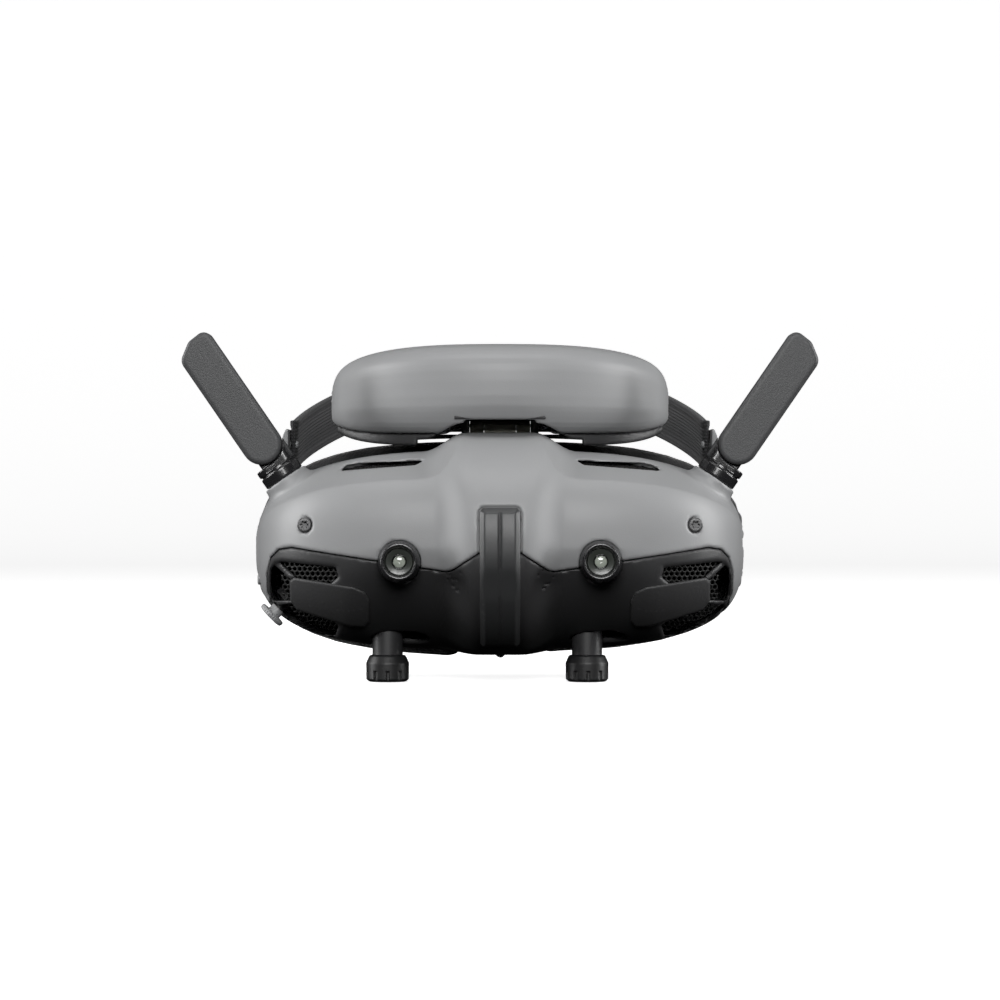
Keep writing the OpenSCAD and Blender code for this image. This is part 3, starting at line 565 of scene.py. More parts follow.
MATERIALS = {
    "grey_shell": material_named(
        "grey_shell", (0.262, 0.265, 0.269), rough=0.46, grain=0.5, grain_size=0.32, edge_highlight=0.25),
    "black_shell": material_named(
        "black_shell", (0.026, 0.026, 0.027), rough=0.5, grain=0.55, grain_size=0.34, edge_highlight=0.15),
    "bar_plastic": material_named(
        "bar_plastic", (0.034, 0.035, 0.036), rough=0.42, grain=0.45, grain_size=0.3, edge_highlight=0.25),
    "panel_plastic": material_named(
        "panel_plastic", (0.034, 0.034, 0.035), rough=0.55, grain=1.0, grain_size=0.8, mottle=0.25, edge_highlight=0.2),
    "vent_mesh": material_named(
        "vent_mesh", (0.006, 0.006, 0.006), rough=0.6, metallic=0.1, grain=0.3, grain_size=0.2),
    "gloss_black": material_named(
        "gloss_black", (0.013, 0.013, 0.014), rough=0.26, grain=0.12, grain_size=0.4, edge_highlight=0.15, coat=0.3),
    "camera_glass": material_named(
        "camera_glass", (0.035, 0.040, 0.034), rough=0.32, mottle=0.1, grain_size=0.6, rough_spread=0.04,
        coat=0.15),
    "screw_steel": material_named(
        "screw_steel", (0.12, 0.12, 0.122), rough=0.4, metallic=0.5, grain=0.3, grain_size=0.25, edge_highlight=0.35),
    "foam": knitted("foam", (0.016, 0.016, 0.017), 0.9, 0.3),
    "mask_fabric": knitted("mask_fabric", (0.012, 0.012, 0.013), 0.6, 0.2),
    "steel": brushed("steel", (0.56, 0.56, 0.58), 0.3, 0),
    "circuit_board": material_named(
        "circuit_board", (0.015, 0.10, 0.05), rough=0.35, grain=0.2, grain_size=0.8, coat=0.4),
    "aluminium": brushed("aluminium", (0.65, 0.65, 0.67), 0.35, 2),
    "black_plastic": material_named(
        "black_plastic", (0.018, 0.018, 0.019), rough=0.48, grain=0.4, grain_size=0.35, edge_highlight=0.2),
    # The hinge is coloured much paler than its olive metal: painted light that lifts the leaves out of the
    # shade of the notch.
    "hinge_metal": material_named(
        "hinge_metal", (0.27, 0.262, 0.215), rough=0.45, metallic=0.2, grain=0.3, grain_size=0.3, edge_highlight=0.3),
    "cell_wrap": material_named(
        "cell_wrap", (0.03, 0.07, 0.25), rough=0.25, grain=0.15, grain_size=1.5, coat=0.5),
    "anchor_plastic": material_named(
        "anchor_plastic", (0.20, 0.203, 0.206), rough=0.5, grain=0.5, grain_size=0.32, edge_highlight=0.25),
    "band_fabric": woven("band_fabric", (0.010, 0.010, 0.011), (0.032, 0.032, 0.034), 0.8),
    "antenna_plastic": material_named(
        "antenna_plastic", (0.050, 0.051, 0.053), rough=0.5, grain=0.9, grain_size=0.42, mottle=0.08,
        edge_highlight=0.25),
    "display_glass": material_named(
        "display_glass", (0.012, 0.012, 0.03), rough=0.08, rough_spread=0.03, coat=0.8),
    "lens_glass": material_named(
        "lens_glass", (0.86, 0.9, 0.94), rough=0.04, rough_spread=0.02, mottle=0.01, clear=1.0),
    "knob_plastic": material_named(
        "knob_plastic", (0.009, 0.009, 0.0095), rough=0.45, grain=0.5, grain_size=0.3, edge_highlight=0.3),
}
# The lens's pale colour is a painted reflection: it stands for the bright disc of the front light on the glass.
PUPIL_REFLECTION = material_named(
    "camera_pupil_reflection", (0.34, 0.37, 0.32), rough=0.1, rough_spread=0.04, mottle=0.15, grain_size=0.5, coat=1.0)
DARK_GLASS = material_named(
    "dark_glass", (0.006, 0.007, 0.006), rough=0.05, rough_spread=0.02, grain_size=0.5, coat=1.0)
THREAD = material_named("stitch_thread", (0.05, 0.05, 0.052), rough=0.7, grain=0.6, grain_size=0.15, sheen=0.3)


# ---------------------------------------------------------------- housing

def camera_hole(x, y, z):
    """Positive inside the round holes that the cameras sit in."""
    return np.minimum(CAMERA_RING_R + 0.15 - np.hypot(np.abs(x) - CAMERA[0], z - CAMERA[1]), 30 - y)


def socket_rod(ax, y, z, r, start, end):
    return rod(ax, y, z, SOCKET * [-1, 1, 1], ANTENNA_UP * [-1, 1, 1], r, start, end)


def front_shell_field(x, y, z):
    ax = np.abs(x)
    skin = housing(x, y, z)
    # The socket under each antenna grows out of the shoulder.
    outer = soft_min(skin, socket_rod(ax, y, z, 7.6, -8, 0.1), 2.2)
    f = soft_max(outer, area(ax, z, GREY_AREA) + 0.1, 0.9)
    hollow = np.maximum(housing(x, y, z, -SHELL_T), -socket_rod(ax, y, z, 7.6, -6, 0.1))
    f = soft_max(f, -hollow, 0.3)
    f = soft_max(f, y - SEAM_Y + 0.1, 0.4)
    # A step round the bar, which sits in it.
    f = soft_max(f, -np.maximum(area(ax, z, BAR_AREA) - 0.5, -(skin + 1.2)), 0.5)
    f = soft_max(f, camera_hole(x, y, z), 0.35)
    screw = np.hypot(ax - SCREW[0], z - SCREW[1])
    post = np.maximum(screw - 4, y - SCREW_SEAT_Y - 2.4)
    f = np.minimum(f, np.maximum(post, skin + 0.5))
    f = soft_max(f, np.minimum(2.65 - screw, SCREW_SEAT_Y - y), 0.5)
    f = soft_max(f, -np.maximum(area(ax, z, VENT_AREA) - 0.15, y - 40), 0.5)
    f = soft_max(f, -socket_rod(ax, y, z, 4.3, -12, 6), 0.2)
    f = soft_max(f, -rod(x, y, z, STICK_BASE, STICK_AXIS, 3.6, -6, 8), 0.4)
    f = soft_max(f, -box_field(x, y, z, (-90, 48.05, 31.1), (-70, 55.95, 34.9), 1.8), 0.3)
    return soft_max(f, -rod(x, y, z, (0, 52, 45), (1, 0, 0), 3.6, 70, 90), 0.3)


def lower_shell_field(x, y, z):
    ax = np.abs(x)
    skin = housing(x, y, z) + 0.45 * bump(x, 20, 28) * step_up(z, 20, 34)
    core = housing(x, y, z, -SHELL_T)
    f = soft_max(skin, 0.15 - area(ax, z, GREY_AREA), 0.35)
    f = soft_max(f, -core, 0.3)
    f = soft_max(f, y - SEAM_Y + 0.1, 0.4)
    intake = area(ax, z, INTAKE_AREA)
    f = soft_max(f, -np.maximum(intake, y - 50), 1.3)
    # The walls of the intake run inwards from its rim, and two ribs cross it to the panel.
    wall = np.maximum(np.abs(intake - 0.75) - 0.75, np.maximum(skin + 0.6, -(core + 2)))
    f = soft_min(f, np.maximum(wall, y - 46), 0.5)
    ribs = np.minimum(*[area(ax, z, rib) for rib in INTAKE_RIBS])
    f = soft_min(f, np.maximum(ribs, np.maximum(skin + 1.0, -(core + 1.4))), 0.5)
    f = soft_max(f, camera_hole(x, y, z), 0.35)
    for middle in (EYE_X["left"] + EYE_TRAVEL / 2, EYE_X["right"] + EYE_TRAVEL / 2):
        along = np.maximum(np.abs(x - middle) - EYE_TRAVEL / 2, 0)
        f = soft_max(f, -np.maximum(np.hypot(along, y - STEM_Y) - 5.3, z - 26), 0.5)
    return soft_max(f, -rod(x, y, z, STICK_BASE, STICK_AXIS, 3.6, -6, 8), 0.4)


def center_bar_field(x, y, z):
    skin = housing(x, y, z)
    edge = area(np.abs(x), z, BAR_AREA)
    f = soft_max(skin - 1.25, edge, 0.3)
    # A chamfer runs round the edge and a crease crosses the front where it starts to lean under.
    f = soft_max(f, skin - 1.25 + 0.8 * (edge + 1.6), 0.25)
    f = soft_max(f, (0.3 + 0.42 * (37.5 - z) - y) * 0.92, 0.3)
    return soft_max(f, -(skin + 1.0), 0.3)


def intake_panel_field(x, y, z):
    skin = housing(x, y, z)
    f = soft_max(skin - 1.2, area(np.abs(x), z, PANEL_AREA), 0.8)
    return soft_max(f, -(skin + 2.6), 0.4)


def honeycomb(u, v, pitch, r):
    """Positive inside round holes on a triangular grid."""
    row = pitch * math.sqrt(3) / 2
    nearest = np.full(np.shape(u), 1e9)
    for shift in (0, 1):
        du = u - pitch * (np.round((u - shift * pitch / 2) / pitch) + shift / 2)
        dv = v - 2 * row * (np.round((v - shift * row) / (2 * row))) - shift * row
        nearest = np.minimum(nearest, np.hypot(du, dv))
    return r - nearest


def mesh_field(x, y, z):
    """The perforated sheet behind an intake; the upper vents' part is pierced along Z instead."""
    skin = housing(x, y, z)
    ax = np.abs(x)
    sheet = np.maximum(skin + 2.15, -(skin + 2.95))
    low = np.maximum(np.maximum(area(ax, z, INTAKE_AREA) - 1.2, y - 46), honeycomb(x, z, 1.7, 0.6))
    high = np.maximum(np.maximum(area(ax, z, VENT_AREA) - 1.0, y - 46), honeycomb(x, y, 1.7, 0.6))
    holes = -rod(x, y, z, STICK_BASE, STICK_AXIS, 6.6, -9, 5)
    return np.maximum(np.maximum(sheet, holes), np.minimum(low, high))


def rear_frame_field(x, y, z):
    ax = np.abs(x)
    skin = housing(x, y, z)
    f = soft_max(skin, -housing(x, y, z, -2.5), 0.3)
    f = soft_max(f, SEAM_Y + 0.3 - y, 0.5)
    flange = np.maximum(np.abs(y - 63.75) - 0.75, np.maximum(skin + 2.4, -housing(x, y, z, -5.5)))
    f = soft_min(f, flange, 0.6)
    f = soft_max(f, FACE_R - np.hypot(x, y - FACE_AXIS_Y), 0.6)
    f = soft_max(f, -np.maximum(area(ax, z, NOSE_AREA), 63.5 - y), 0.6)
    port = np.hypot(np.maximum(np.abs(y - 71) - 2.85, 0), z - MID_Z) - 1.75
    f = soft_max(f, -np.maximum(port, x + 68), 0.4)
    f = soft_max(f, -box_field(x, y, z, (-90, 64.85, 50.85), (-68, 77.15, 53.55), 0.4), 0.35)
    return soft_max(f, -box_field(ax, y, z, (67.3, 63.8, 58), (71.7, 78.2, 90), 0.2), 0.25)


def light_shield_field(x, y, z):
    f = soft_max(housing(x, y, z, -2.7), np.abs(y - 62.15) - 0.75, 0.4)
    rim = np.full(np.shape(x), 1e9)
    for eye in EYE_X.values():
        along = np.maximum(np.abs(x - eye - EYE_TRAVEL / 2) - EYE_TRAVEL / 2, 0)
        hole = np.hypot(along, z - EYE_Z) - BARREL_R - 0.7
        f = soft_max(f, -hole, 0.4)
        rim = np.minimum(rim, np.hypot(hole - 1.2, y - 62.6) - 0.9)
    f = soft_min(f, rim, 0.8)
    posts = box_field(np.abs(x), y, np.abs(z - EYE_Z), (54.05, 47.5, 18), (56.55, 61.5, 22), 0.4)
    return np.minimum(f, posts)


for name, field, low, high, step, slot in (
    ("front_shell", front_shell_field, (-83, -2, 18), (83, 60, 84), 0.75, "grey_shell"),
    ("lower_shell", lower_shell_field, (-81, -2, 5), (81, 60, 48), 0.7, "black_shell"),
    ("center_bar", center_bar_field, (-8, -3, 9), (8, 26, 58), 0.35, "bar_plastic"),
    ("rear_frame", rear_frame_field, (-81, 56, 6), (81, 93, 77), 0.75, "black_shell"),
    ("light_shield", light_shield_field, (-79, 46, 10), (79, 65, 75), 0.75, "mask_fabric"),
):
    settle(solid(name + ".skin", field, low, high, step, MATERIALS[slot]), "housing", slot, name)

pair("{}_intake_panel.skin", *surface_nets(intake_panel_field, (39.5, 2, 16), (69, 34, 36), 0.4),
     MATERIALS["panel_plastic"], "panel_plastic", "housing", "{}_intake_panel", first="right")


# ---------------------------------------------------------------- small parts on the front

def join(*parts):
    """Several meshes, given as (points, faces), as one."""
    points, faces, start = [], [], 0
    for p, f in parts:
        points.append(np.asarray(p))
        faces += [[i + start for i in face] for face in f]
        start += len(p)
    return np.concatenate(points), faces


vents = join(
    surface_nets(mesh_field, (49, 6, 12.5), (76.5, 47, 40.5), 0.32),
    surface_nets(mesh_field, (23.5, 4, 62), (52.5, 47, 75), 0.36))
vents_left = mirrored(*join(
    surface_nets(lambda x, y, z: mesh_field(-x, y, z), (49, 6, 12.5), (76.5, 47, 40.5), 0.32),
    surface_nets(mesh_field, (23.5, 4, 62), (52.5, 47, 75), 0.36)))
settle(new_piece("vent_meshes.sheet", *join(vents, vents_left), MATERIALS["vent_mesh"]),
       "housing", "vent_mesh", "vent_meshes")


def at_camera(profile, count=96):
    points, faces = turned(profile, count)
    return points + [-CAMERA[0], 0, CAMERA[1]], faces


RING = rounded([(4.25, 5.2), (4.9, 3.65), (5.75, 3.65), (6.6, 6.2), (6.6, 13), (4.25, 13)], 0.35)
for ring in pair("{}_camera_ring.rim", *at_camera(RING), MATERIALS["gloss_black"], "gloss_black", "housing",
                 "{}_camera_ring"):
    mended(ring)
# The camera is a shallow dark cone round a lens with a dark rim; the lens is coloured pale as a painted
# reflection of the front light.
CAMERA_CONE = rounded(
    [(2.1, 6.6), (2.4, 6.35), (4.2, 5.8), (4.2, 16), (0.01, 16), (0.01, 7.6), (2.1, 7.6)], 0.2)
CAMERA_LENS = [(0.01, 6.3), (0.6, 6.33), (1.2, 6.43), (1.7, 6.6), (2.0, 6.85), (2.1, 7.4), (0.01, 7.4)]
CAMERA_RIM = rounded([(1.9, 6.4), (2.2, 6.15), (2.4, 6.4), (2.4, 7.2), (1.9, 7.2)], 0.12)
for cone in pair("{}_camera_module.cone", *at_camera(CAMERA_CONE), MATERIALS["camera_glass"], "camera_glass",
                 "housing", "{}_camera_module"):
    mended(cone)
for lens in pair("{}_camera_module.lens", *at_camera(CAMERA_LENS), PUPIL_REFLECTION, "camera_glass", "housing"):
    mended(lens)
for rim in pair("{}_camera_module.rim", *at_camera(CAMERA_RIM), DARK_GLASS, "camera_glass", "housing"):
    mended(rim)


def screw_field(x, y, z):
    """A pan head with a six-lobed recess, on its shank."""
    u, v = x - SCREW[0], z - SCREW[1]
    off = np.hypot(u, v)
    head = rod(x, y, z, (SCREW[0], 0, SCREW[1]), (0, 1, 0), 2.3, SCREW_SEAT_Y - 2.1, SCREW_SEAT_Y, 0.5)
    lobes = off - 1.05 - 0.22 * np.cos(6 * np.arctan2(v, u))
    head = soft_max(head, -np.maximum(lobes, y - SCREW_SEAT_Y + 0.9), 0.15)
    shank = rod(x, y, z, (SCREW[0], 0, SCREW[1]), (0, 1, 0), 1.1, SCREW_SEAT_Y - 0.5, 32, 0.3)
    return soft_min(head, shank, 0.2)


screw = surface_nets(screw_field, (58.8, 17, 47.6), (65.4, 33, 54.2), 0.16)
settle(new_piece("shell_screws.heads", *join(screw, mirrored(*screw)), MATERIALS["screw_steel"]),
       "housing", "screw_steel", "shell_screws")


# ---------------------------------------------------------------- soft parts

CLOTH_FRAMES = 20
CLOTH_SMOOTHING = 8


def puffed(piece, cap_mm, pressure):
    """Swells a padded piece like foam in a stretched cover: a short cloth simulation whose movement is capped.
    """
    rest = np.array([v.co for v in piece.data.vertices])
    cloth = piece.modifiers.new("cover", "CLOTH").settings
    cloth.use_pressure = True
    cloth.uniform_pressure_force = pressure
    cloth.effector_weights.gravity = 0
    scene = bpy.context.scene
    for number in range(1, CLOTH_FRAMES + 1):
        scene.frame_set(number)
    swollen = piece.evaluated_get(bpy.context.evaluated_depsgraph_get()).to_mesh()
    moved = np.array([v.co for v in swollen.vertices]) - rest
    piece.evaluated_get(bpy.context.evaluated_depsgraph_get()).to_mesh_clear()
    piece.modifiers.clear()
    scene.frame_set(1)
    # Averaging between neighbours takes out wrinkles the size of a face.
    ends = np.array([e.vertices[:] for e in piece.data.edges])
    ends = np.concatenate([ends, ends[:, ::-1]])
    count = np.bincount(ends[:, 0])[:, None]
    for _ in range(CLOTH_SMOOTHING):
        around = np.zeros_like(moved)
        np.add.at(around, ends[:, 0], moved[ends[:, 1]])
        moved = (moved + around / count) / 2
    length = np.linalg.norm(moved, axis=1, keepdims=True)
    moved *= np.minimum(1, cap_mm * MM / np.maximum(length, 1e-9))
    piece.data.vertices.foreach_set("co", (rest + moved).ravel())
    finer = piece.modifiers.new("finer", "SUBSURF")
    finer.levels = finer.render_levels = 2
    smooth = piece.evaluated_get(bpy.context.evaluated_depsgraph_get())
    mesh = bpy.data.meshes.new_from_object(smooth)
    piece.modifiers.clear()
    piece.data = mesh
    return piece


def sewn(piece, seams, depth_mm, half_width_mm):
    """Presses seams into the piece: each is a function of x, y, z in mm that is 0 along its line."""
    mesh = piece.data
    points = np.array([v.co for v in mesh.vertices])
    normals = np.array([v.normal for v in mesh.vertices])
    x, y, z = (points / MM + [0, CENTRE_Y, 0]).T
    press = np.zeros(len(points))
    for seam in seams:
        press = np.maximum(press, np.exp(-(seam(x, y, z) / half_width_mm) ** 2))
    points -= normals * (press * depth_mm * MM)[:, None]
    mesh.vertices.foreach_set("co", points.ravel())
    mesh.update()


def pad_frame(x, grow=0.0):
    """The pad's middle line in plan, its top, its underside and its front, across the face."""
    s = np.minimum(np.abs(x) / (PAD_HALF_W + grow), 1)
    line = PAD_MID_Y + PAD_CURVE * x * x
    top = PAD_MID_Z + (PAD_RISE + grow) * fall(s, 2.9, 4.7)
    low = PAD_MID_Z - (PAD_DROP + grow) * fall(s, 5, 2.5)
    front = line - (PAD_REACH + grow) * fall(s, 3, 2.2)
    return line, top, low, front


def pad_shell_level(x, y, z, grow):
    line, top, low, front = pad_frame(x, grow)
    depth = (y - front) / (line + PAD_SPLIT_Y - front) * PAD_PROFILE_DEPTH
    height = (z - low) / (top - low) * PAD_PROFILE_HEIGHT
    shape = area(depth, height, PAD_OUTLINE)
    return np.maximum(shape, (np.abs(x) - PAD_HALF_W - grow) * 3)


def pad_clearance(x, y, z, r=1.0):
    """Negative in the room that the pad leaves for the hinge and the shell's ridge."""
    notch = box_field(x, y, z, (-11.7, 0, 50), (11.7, 90, 84.7), r)
    ridge = np.maximum(housing(x, y, z, 4), np.maximum(np.abs(x) - 27, y - 62))
    return np.minimum(notch, ridge)


def pad_shell_field(x, y, z):
    f = soft_max(evened(pad_shell_level, x, y, z, 0.0), -evened(pad_shell_level, x, y, z, -2.0), 0.4)
    f = soft_max(f, y - PAD_MID_Y - PAD_CURVE * x * x - PAD_SPLIT_Y + 0.1, 0.6)
    return soft_max(f, -pad_clearance(x, y, z), 0.8)


def pad_slab_level(x, y, z, grow, start, end, low_share, k):
    line, top, low, _ = pad_frame(x, grow)
    depth = y - line
    mid = start + 0.6 * (end - start)
    top = top - 1 - np.interp(depth, [start, mid, end], [0, 1, 4])
    low = low + low_share * (top - low) + np.interp(depth, [start, mid, end], [0, 0.3, 3])
    f = soft_max(z - top, low - z, k)
    f = soft_max(f, np.abs(depth - (start + end) / 2) - (end - start) / 2, k)
    return soft_max(f, np.abs(x) - PAD_HALF_W - grow, k)


def pad_inner_field(x, y, z):
    line, top, low, front = pad_frame(x)
    back = line + PAD_SPLIT_Y + 1
    f = evened(pad_slab_level, x, y, z, -0.4, PAD_SPLIT_Y + 0.2, PAD_SPLIT_Y + 8, 0.13, 1.5)
    start = front + (back - front) * 0.38
    sill = np.maximum(np.abs(z - low - 0.055 * (top - low)) - 0.055 * (top - low), start - y)
    sill = np.maximum(np.maximum(sill, y - back), np.abs(x) - PAD_HALF_W + 2)
    f = soft_min(f, sill, 0.6)
    lip = box_field(x, y, z, (-15, 33, 84.75), (15, 57, 86.1), 0.3)
    # Two cheeks close the notch beside the hinge's knuckles.
    cheeks = box_field(np.abs(x), y, z, (9.95, 51, 80.2), (12.6, 56.5, 86), 0.3)
    return np.minimum(soft_max(np.minimum(f, lip), -pad_clearance(x, y, z), 0.6), cheeks)


def pad_cushion_field(x, y, z):
    f = evened(pad_slab_level, x, y, z, -3.6, PAD_SPLIT_Y + 8.3, PAD_SPLIT_Y + 19.2, 0.26, 6.0)
    return soft_max(f, -box_field(x, y, z, (-20, 0, 50), (20, 100, 84.8), 2), 3.0)


def face_foam_field(x, y, z):
    r = np.hypot(x, y - FACE_AXIS_Y)
    # The foam stands higher over the brow than round the cheeks.
    brow = 1.6 * np.clip((z - 55) / 12, 0, 1)
    f = soft_max(housing(x, y, z - brow, 2.2), -housing(x, y, z, -8.2), 5.0)
    f = soft_max(f, np.maximum(r - FACE_R + 0.6, FOAM_BACK_R + 1.0 - r), 5.0)
    f = soft_max(f, 65.4 - y, 3.0)
    return soft_max(f, -(area(np.abs(x), z, NOSE_AREA) + 3.8), 4.0)


PAD_OUTLINE = eased([(a, b * PAD_PROFILE_HEIGHT) for a, b in PAD_PROFILE], 1)
pad_shell = solid("pad_shell.skin", pad_shell_field, (-57, 28, 75), (57, 78, 111), 0.7, MATERIALS["grey_shell"])
settle(pad_shell, "pad", "grey_shell", "pad_shell")
pad_inner = solid("pad_inner_shell.skin", pad_inner_field, (-57, 32, 74), (57, 86, 110), 0.75,
                  MATERIALS["black_shell"])
settle(pad_inner, "pad", "black_shell", "pad_inner_shell")

cushion = puffed(solid("pad_cushion.cover", pad_cushion_field, (-58, 60, 72), (58, 100, 112), 2.6,
                       MATERIALS["foam"]), 1.2, 400)
sewn(cushion, [
    lambda x, y, z: y - PAD_MID_Y - PAD_CURVE * x * x - PAD_SPLIT_Y - 11,
    lambda x, y, z: np.hypot(np.abs(x) - 18, 0 * z) + 40 * (y < PAD_MID_Y + PAD_CURVE * x * x + 22),
], 0.7, 0.8)
settle(cushion, "pad", "foam", "pad_cushion")

foam = puffed(solid("face_foam.cover", face_foam_field, (-88, 60, 2), (88, 112, 84), 2.4, MATERIALS["foam"]),
              1.0, 400)
sewn(foam, [lambda x, y, z: np.hypot(x, y - FACE_AXIS_Y) - FACE_R + 4.5], 0.8, 0.8)
settle(foam, "housing", "foam", "face_foam")


# ---------------------------------------------------------------- hinge of the pad

def hinge_lower_field(x, y, z):
    f = rod(x, y, z, (0, *HINGE), (1, 0, 0), 1.5, -5.1, 5.1, 0.2)
    f = soft_min(f, box_field(x, y, z, (-5.1, 50.1, 75.6), (5.1, 51.6, 82.2), 0.2), 0.3)
    return soft_max(f, -rod(x, y, z, (0, *HINGE), (1, 0, 0), 0.8, -6, 6), 0.15)


def hinge_upper_field(x, y, z):
    ax = np.abs(x)
    f = rod(ax, y, z, (0, *HINGE), (1, 0, 0), 1.5, 5.3, 9.85, 0.2)
    f = soft_min(f, box_field(ax, y, z, (5.3, 51.6, 82.5), (9.85, 55.6, 83.7), 0.2), 0.3)
    f = soft_max(f, -rod(x, y, z, (0, *HINGE), (1, 0, 0), 0.8, -11, 11), 0.15)
    return np.minimum(f, box_field(x, y, z, (-9.85, 54.6, 83.2), (9.85, 62.6, 84.6), 0.3))


for part, field, body in (("lower", hinge_lower_field, "housing"), ("upper", hinge_upper_field, "pad")):
    leaf = solid(f"hinge_{part}_leaf.metal", field, (-11, 49, 74.5), (11, 64, 86), 0.22,
                 MATERIALS["hinge_metal"])
    settle(leaf, body, "hinge_metal", f"hinge_{part}_leaf")


# ---------------------------------------------------------------- antennas

BLADE_AREA = hull_of([(0, PIVOT_T, BLADE_R), (3.5, 51.4, 3), (-2.9, 48.4, 3.6), (0.4, 50.8, 3.4)])


def antenna_cover_field(front):
    """One half of the blade's case; low down, a slot is left between the halves for the collar's tongue."""
    def field(x, y, t):
        depth = -y if front else y
        f = soft_max(area(x, t, BLADE_AREA), depth - BLADE_HALF_T, 1.6)
        f = soft_max(f, 0.07 - depth, 0.3)
        slot = np.maximum(depth - 1.75, t - PIVOT_T - 7.2)
        return soft_max(f, -slot, 0.2)
    return field


def collar_field(x, y, t):
    """The swivel: a shaft, a disc with a groove above it, and a yoke that cups the end of the blade."""
    r = np.hypot(x, y)
    pivot = np.hypot(x, t - PIVOT_T)
    f = rod(x, y, t, (0, 0, 0), (0, 0, 1), 3.9, -5.6, 1, 0.3)
    f = np.minimum(f, rod(x, y, t, (0, 0, 0), (0, 0, 1), 6.8, 0.3, 3.75, 0.45))
    f = np.minimum(f, np.maximum(r - 6.1, np.abs(t - 4) - 0.8))
    yoke = soft_max(r - 6.75, np.abs(y) - 4.6, 1.2)
    yoke = soft_max(yoke, 4.25 - t, 0.6)
    yoke = soft_max(yoke, t - PIVOT_T + 0.3, 0.8)
    yoke = soft_max(yoke, BLADE_R + 0.25 - pivot, 0.35)
    yoke = soft_max(yoke, np.minimum(-x, t - 6.5), 0.5)
    f = np.minimum(f, yoke)
    tongue = soft_max(pivot - 6.1, np.abs(y) - 1.65, 0.3)
    neck = np.maximum(np.abs(x) - 4.5, np.maximum(np.abs(y) - 1.65, np.maximum(4 - t, t - PIVOT_T)))
    return np.minimum(f, np.minimum(tongue, neck))


def antenna_piece(name, field, low, high, step, slot, body, node):
    points, faces = surface_nets(field, low, high, step)
    points = placed(points, SOCKET, ANTENNA_ACROSS, ANTENNA_UP)
    return pair(name, points, faces, MATERIALS[slot], slot, body, node)


for face, front in (("front", True), ("rear", False)):
    antenna_piece("{}_antenna_%s_cover.case" % face, antenna_cover_field(front), (-8, -6, 5), (8, 6, 56), 0.36,
                  "antenna_plastic", "{}_blade", "{}_antenna_%s_cover" % face)
antenna_piece("{}_antenna_collar.swivel", collar_field, (-8, -8, -7), (8, 8, 21), 0.3, "gloss_black",
              "{}_collar", "{}_antenna_collar")


# ---------------------------------------------------------------- eyepieces and focus knobs

def knob_field(x, y, z):
    """A flat knob with finger notches round its rim, a shallow dish below and a socket for the stem above."""
    r = np.hypot(x, y)
    side = r - np.interp(z, [0, 1, 6.2, 8.6, 8.8], [5.75, 6.85, 6.95, 5.9, 5.7])
    f = soft_max(side * 0.95, np.abs(z - 4.4) - 4.4, 0.6)
    dish = np.hypot(r, z + 33.5) - 34.1
    f = soft_max(f, -dish, 0.3)
    turn = np.arctan2(y, x) - math.radians(20)
    step = math.tau / 10
    turn = (turn / step - np.round(turn / step)) * step
    notch = np.maximum(np.abs(turn * 6.6) - 0.5, np.maximum(6.35 - r, z - 3.6))
    f = soft_max(f, -notch, 0.3)
    return soft_max(f, -np.maximum(r - 3.06, 2.5 - z), 0.15)


knob_points, knob_faces = surface_nets(knob_field, (-8, -8, -1), (8, 8, 10), 0.24)
BARREL = rounded(
    [(12.5, 44), (15.5, 44), (15.5, 67.2), (14.9, 68), (13.7, 68), (13.2, 66.2), (13.45, 60), (12.5, 60)], 0.35)
DOME = [(13.45 * k / 12, 65 - 3 * (k / 12) ** 2) for k in range(12, 0, -1)]
EYE_LENS = ([(0.01, 58.4)] + [(12.3 * k / 8, 60 - 1.6 * (1 - (k / 8) ** 2)) for k in range(1, 9)]
            + [(13.4, 60.1)] + DOME + [(0.01, 65)])


for side, eye in EYE_X.items():
    knob = new_piece(f"{side}_focus_knob.grip", knob_points + [eye, STEM_Y, 0], knob_faces,
                     MATERIALS["knob_plastic"])
    settle(knob, f"{side}_knob", "knob_plastic", f"{side}_focus_knob")
    for name, profile, slot, body in (
        ("lens_barrel", BARREL, "black_plastic", "lens"), ("eye_lens", EYE_LENS, "lens_glass", "lens")
    ):
        points, faces = turned(profile, 128)
        piece = mended(new_piece(f"{side}_{name}.turned", points + [eye, 0, EYE_Z], faces, MATERIALS[slot]))
        settle(piece, f"{side}_{body}", slot, f"{side}_{name}")


# ---------------------------------------------------------------- controls

# The joystick's cap is a dished disc with a milled rim, on a sleeve round the stem.
STICK_CAP = rounded([(1.66, 0.4), (2.3, 0.4), (2.3, 2.8), (4.4, 2.8), (4.6, 3.4), (4.35, 4.3), (3.4, 4.55),
                     (2.2, 4.25), (0.01, 4.05), (0.01, 3.6), (1.66, 3.6)], 0.25)
cap_points, cap_faces = turned(STICK_CAP, 120)
angle = np.arctan2(cap_points[:, 2], cap_points[:, 0])
rim = np.hypot(cap_points[:, 0], cap_points[:, 2]) > 4.2
cap_points[:, [0, 2]] *= (1 - 0.02 * rim * (1 + np.cos(30 * angle)))[:, None]
cap_points = placed(cap_points[:, [0, 2, 1]], STICK_BASE, STICK_ACROSS, STICK_AXIS)
stick_cap = mended(new_piece("joystick_button.cap", cap_points, cap_faces, MATERIALS["grey_shell"]))
settle(stick_cap, "stick_cap", "grey_shell", "joystick_button")


def back_button_field(x, y, z):
    side = np.hypot(np.maximum(np.abs(y - 52) - 2, 0), z - 33) - 1.8
    return soft_max(side, np.abs(x + 76.9) - 2, 0.6)


def power_button_field(x, y, z):
    f = rod(x, y, z, (0, 52, 45), (1, 0, 0), 3.45, 75.2, 79, 0.5)
    dish = np.hypot(np.hypot(y - 52, z - 45), x - 92.5) - 14.1
    ring = np.hypot(np.hypot(y - 52, z - 45) - 2.0, x - 78.75) - 0.22
    return soft_max(soft_max(f, -dish, 0.3), -ring, 0.15)


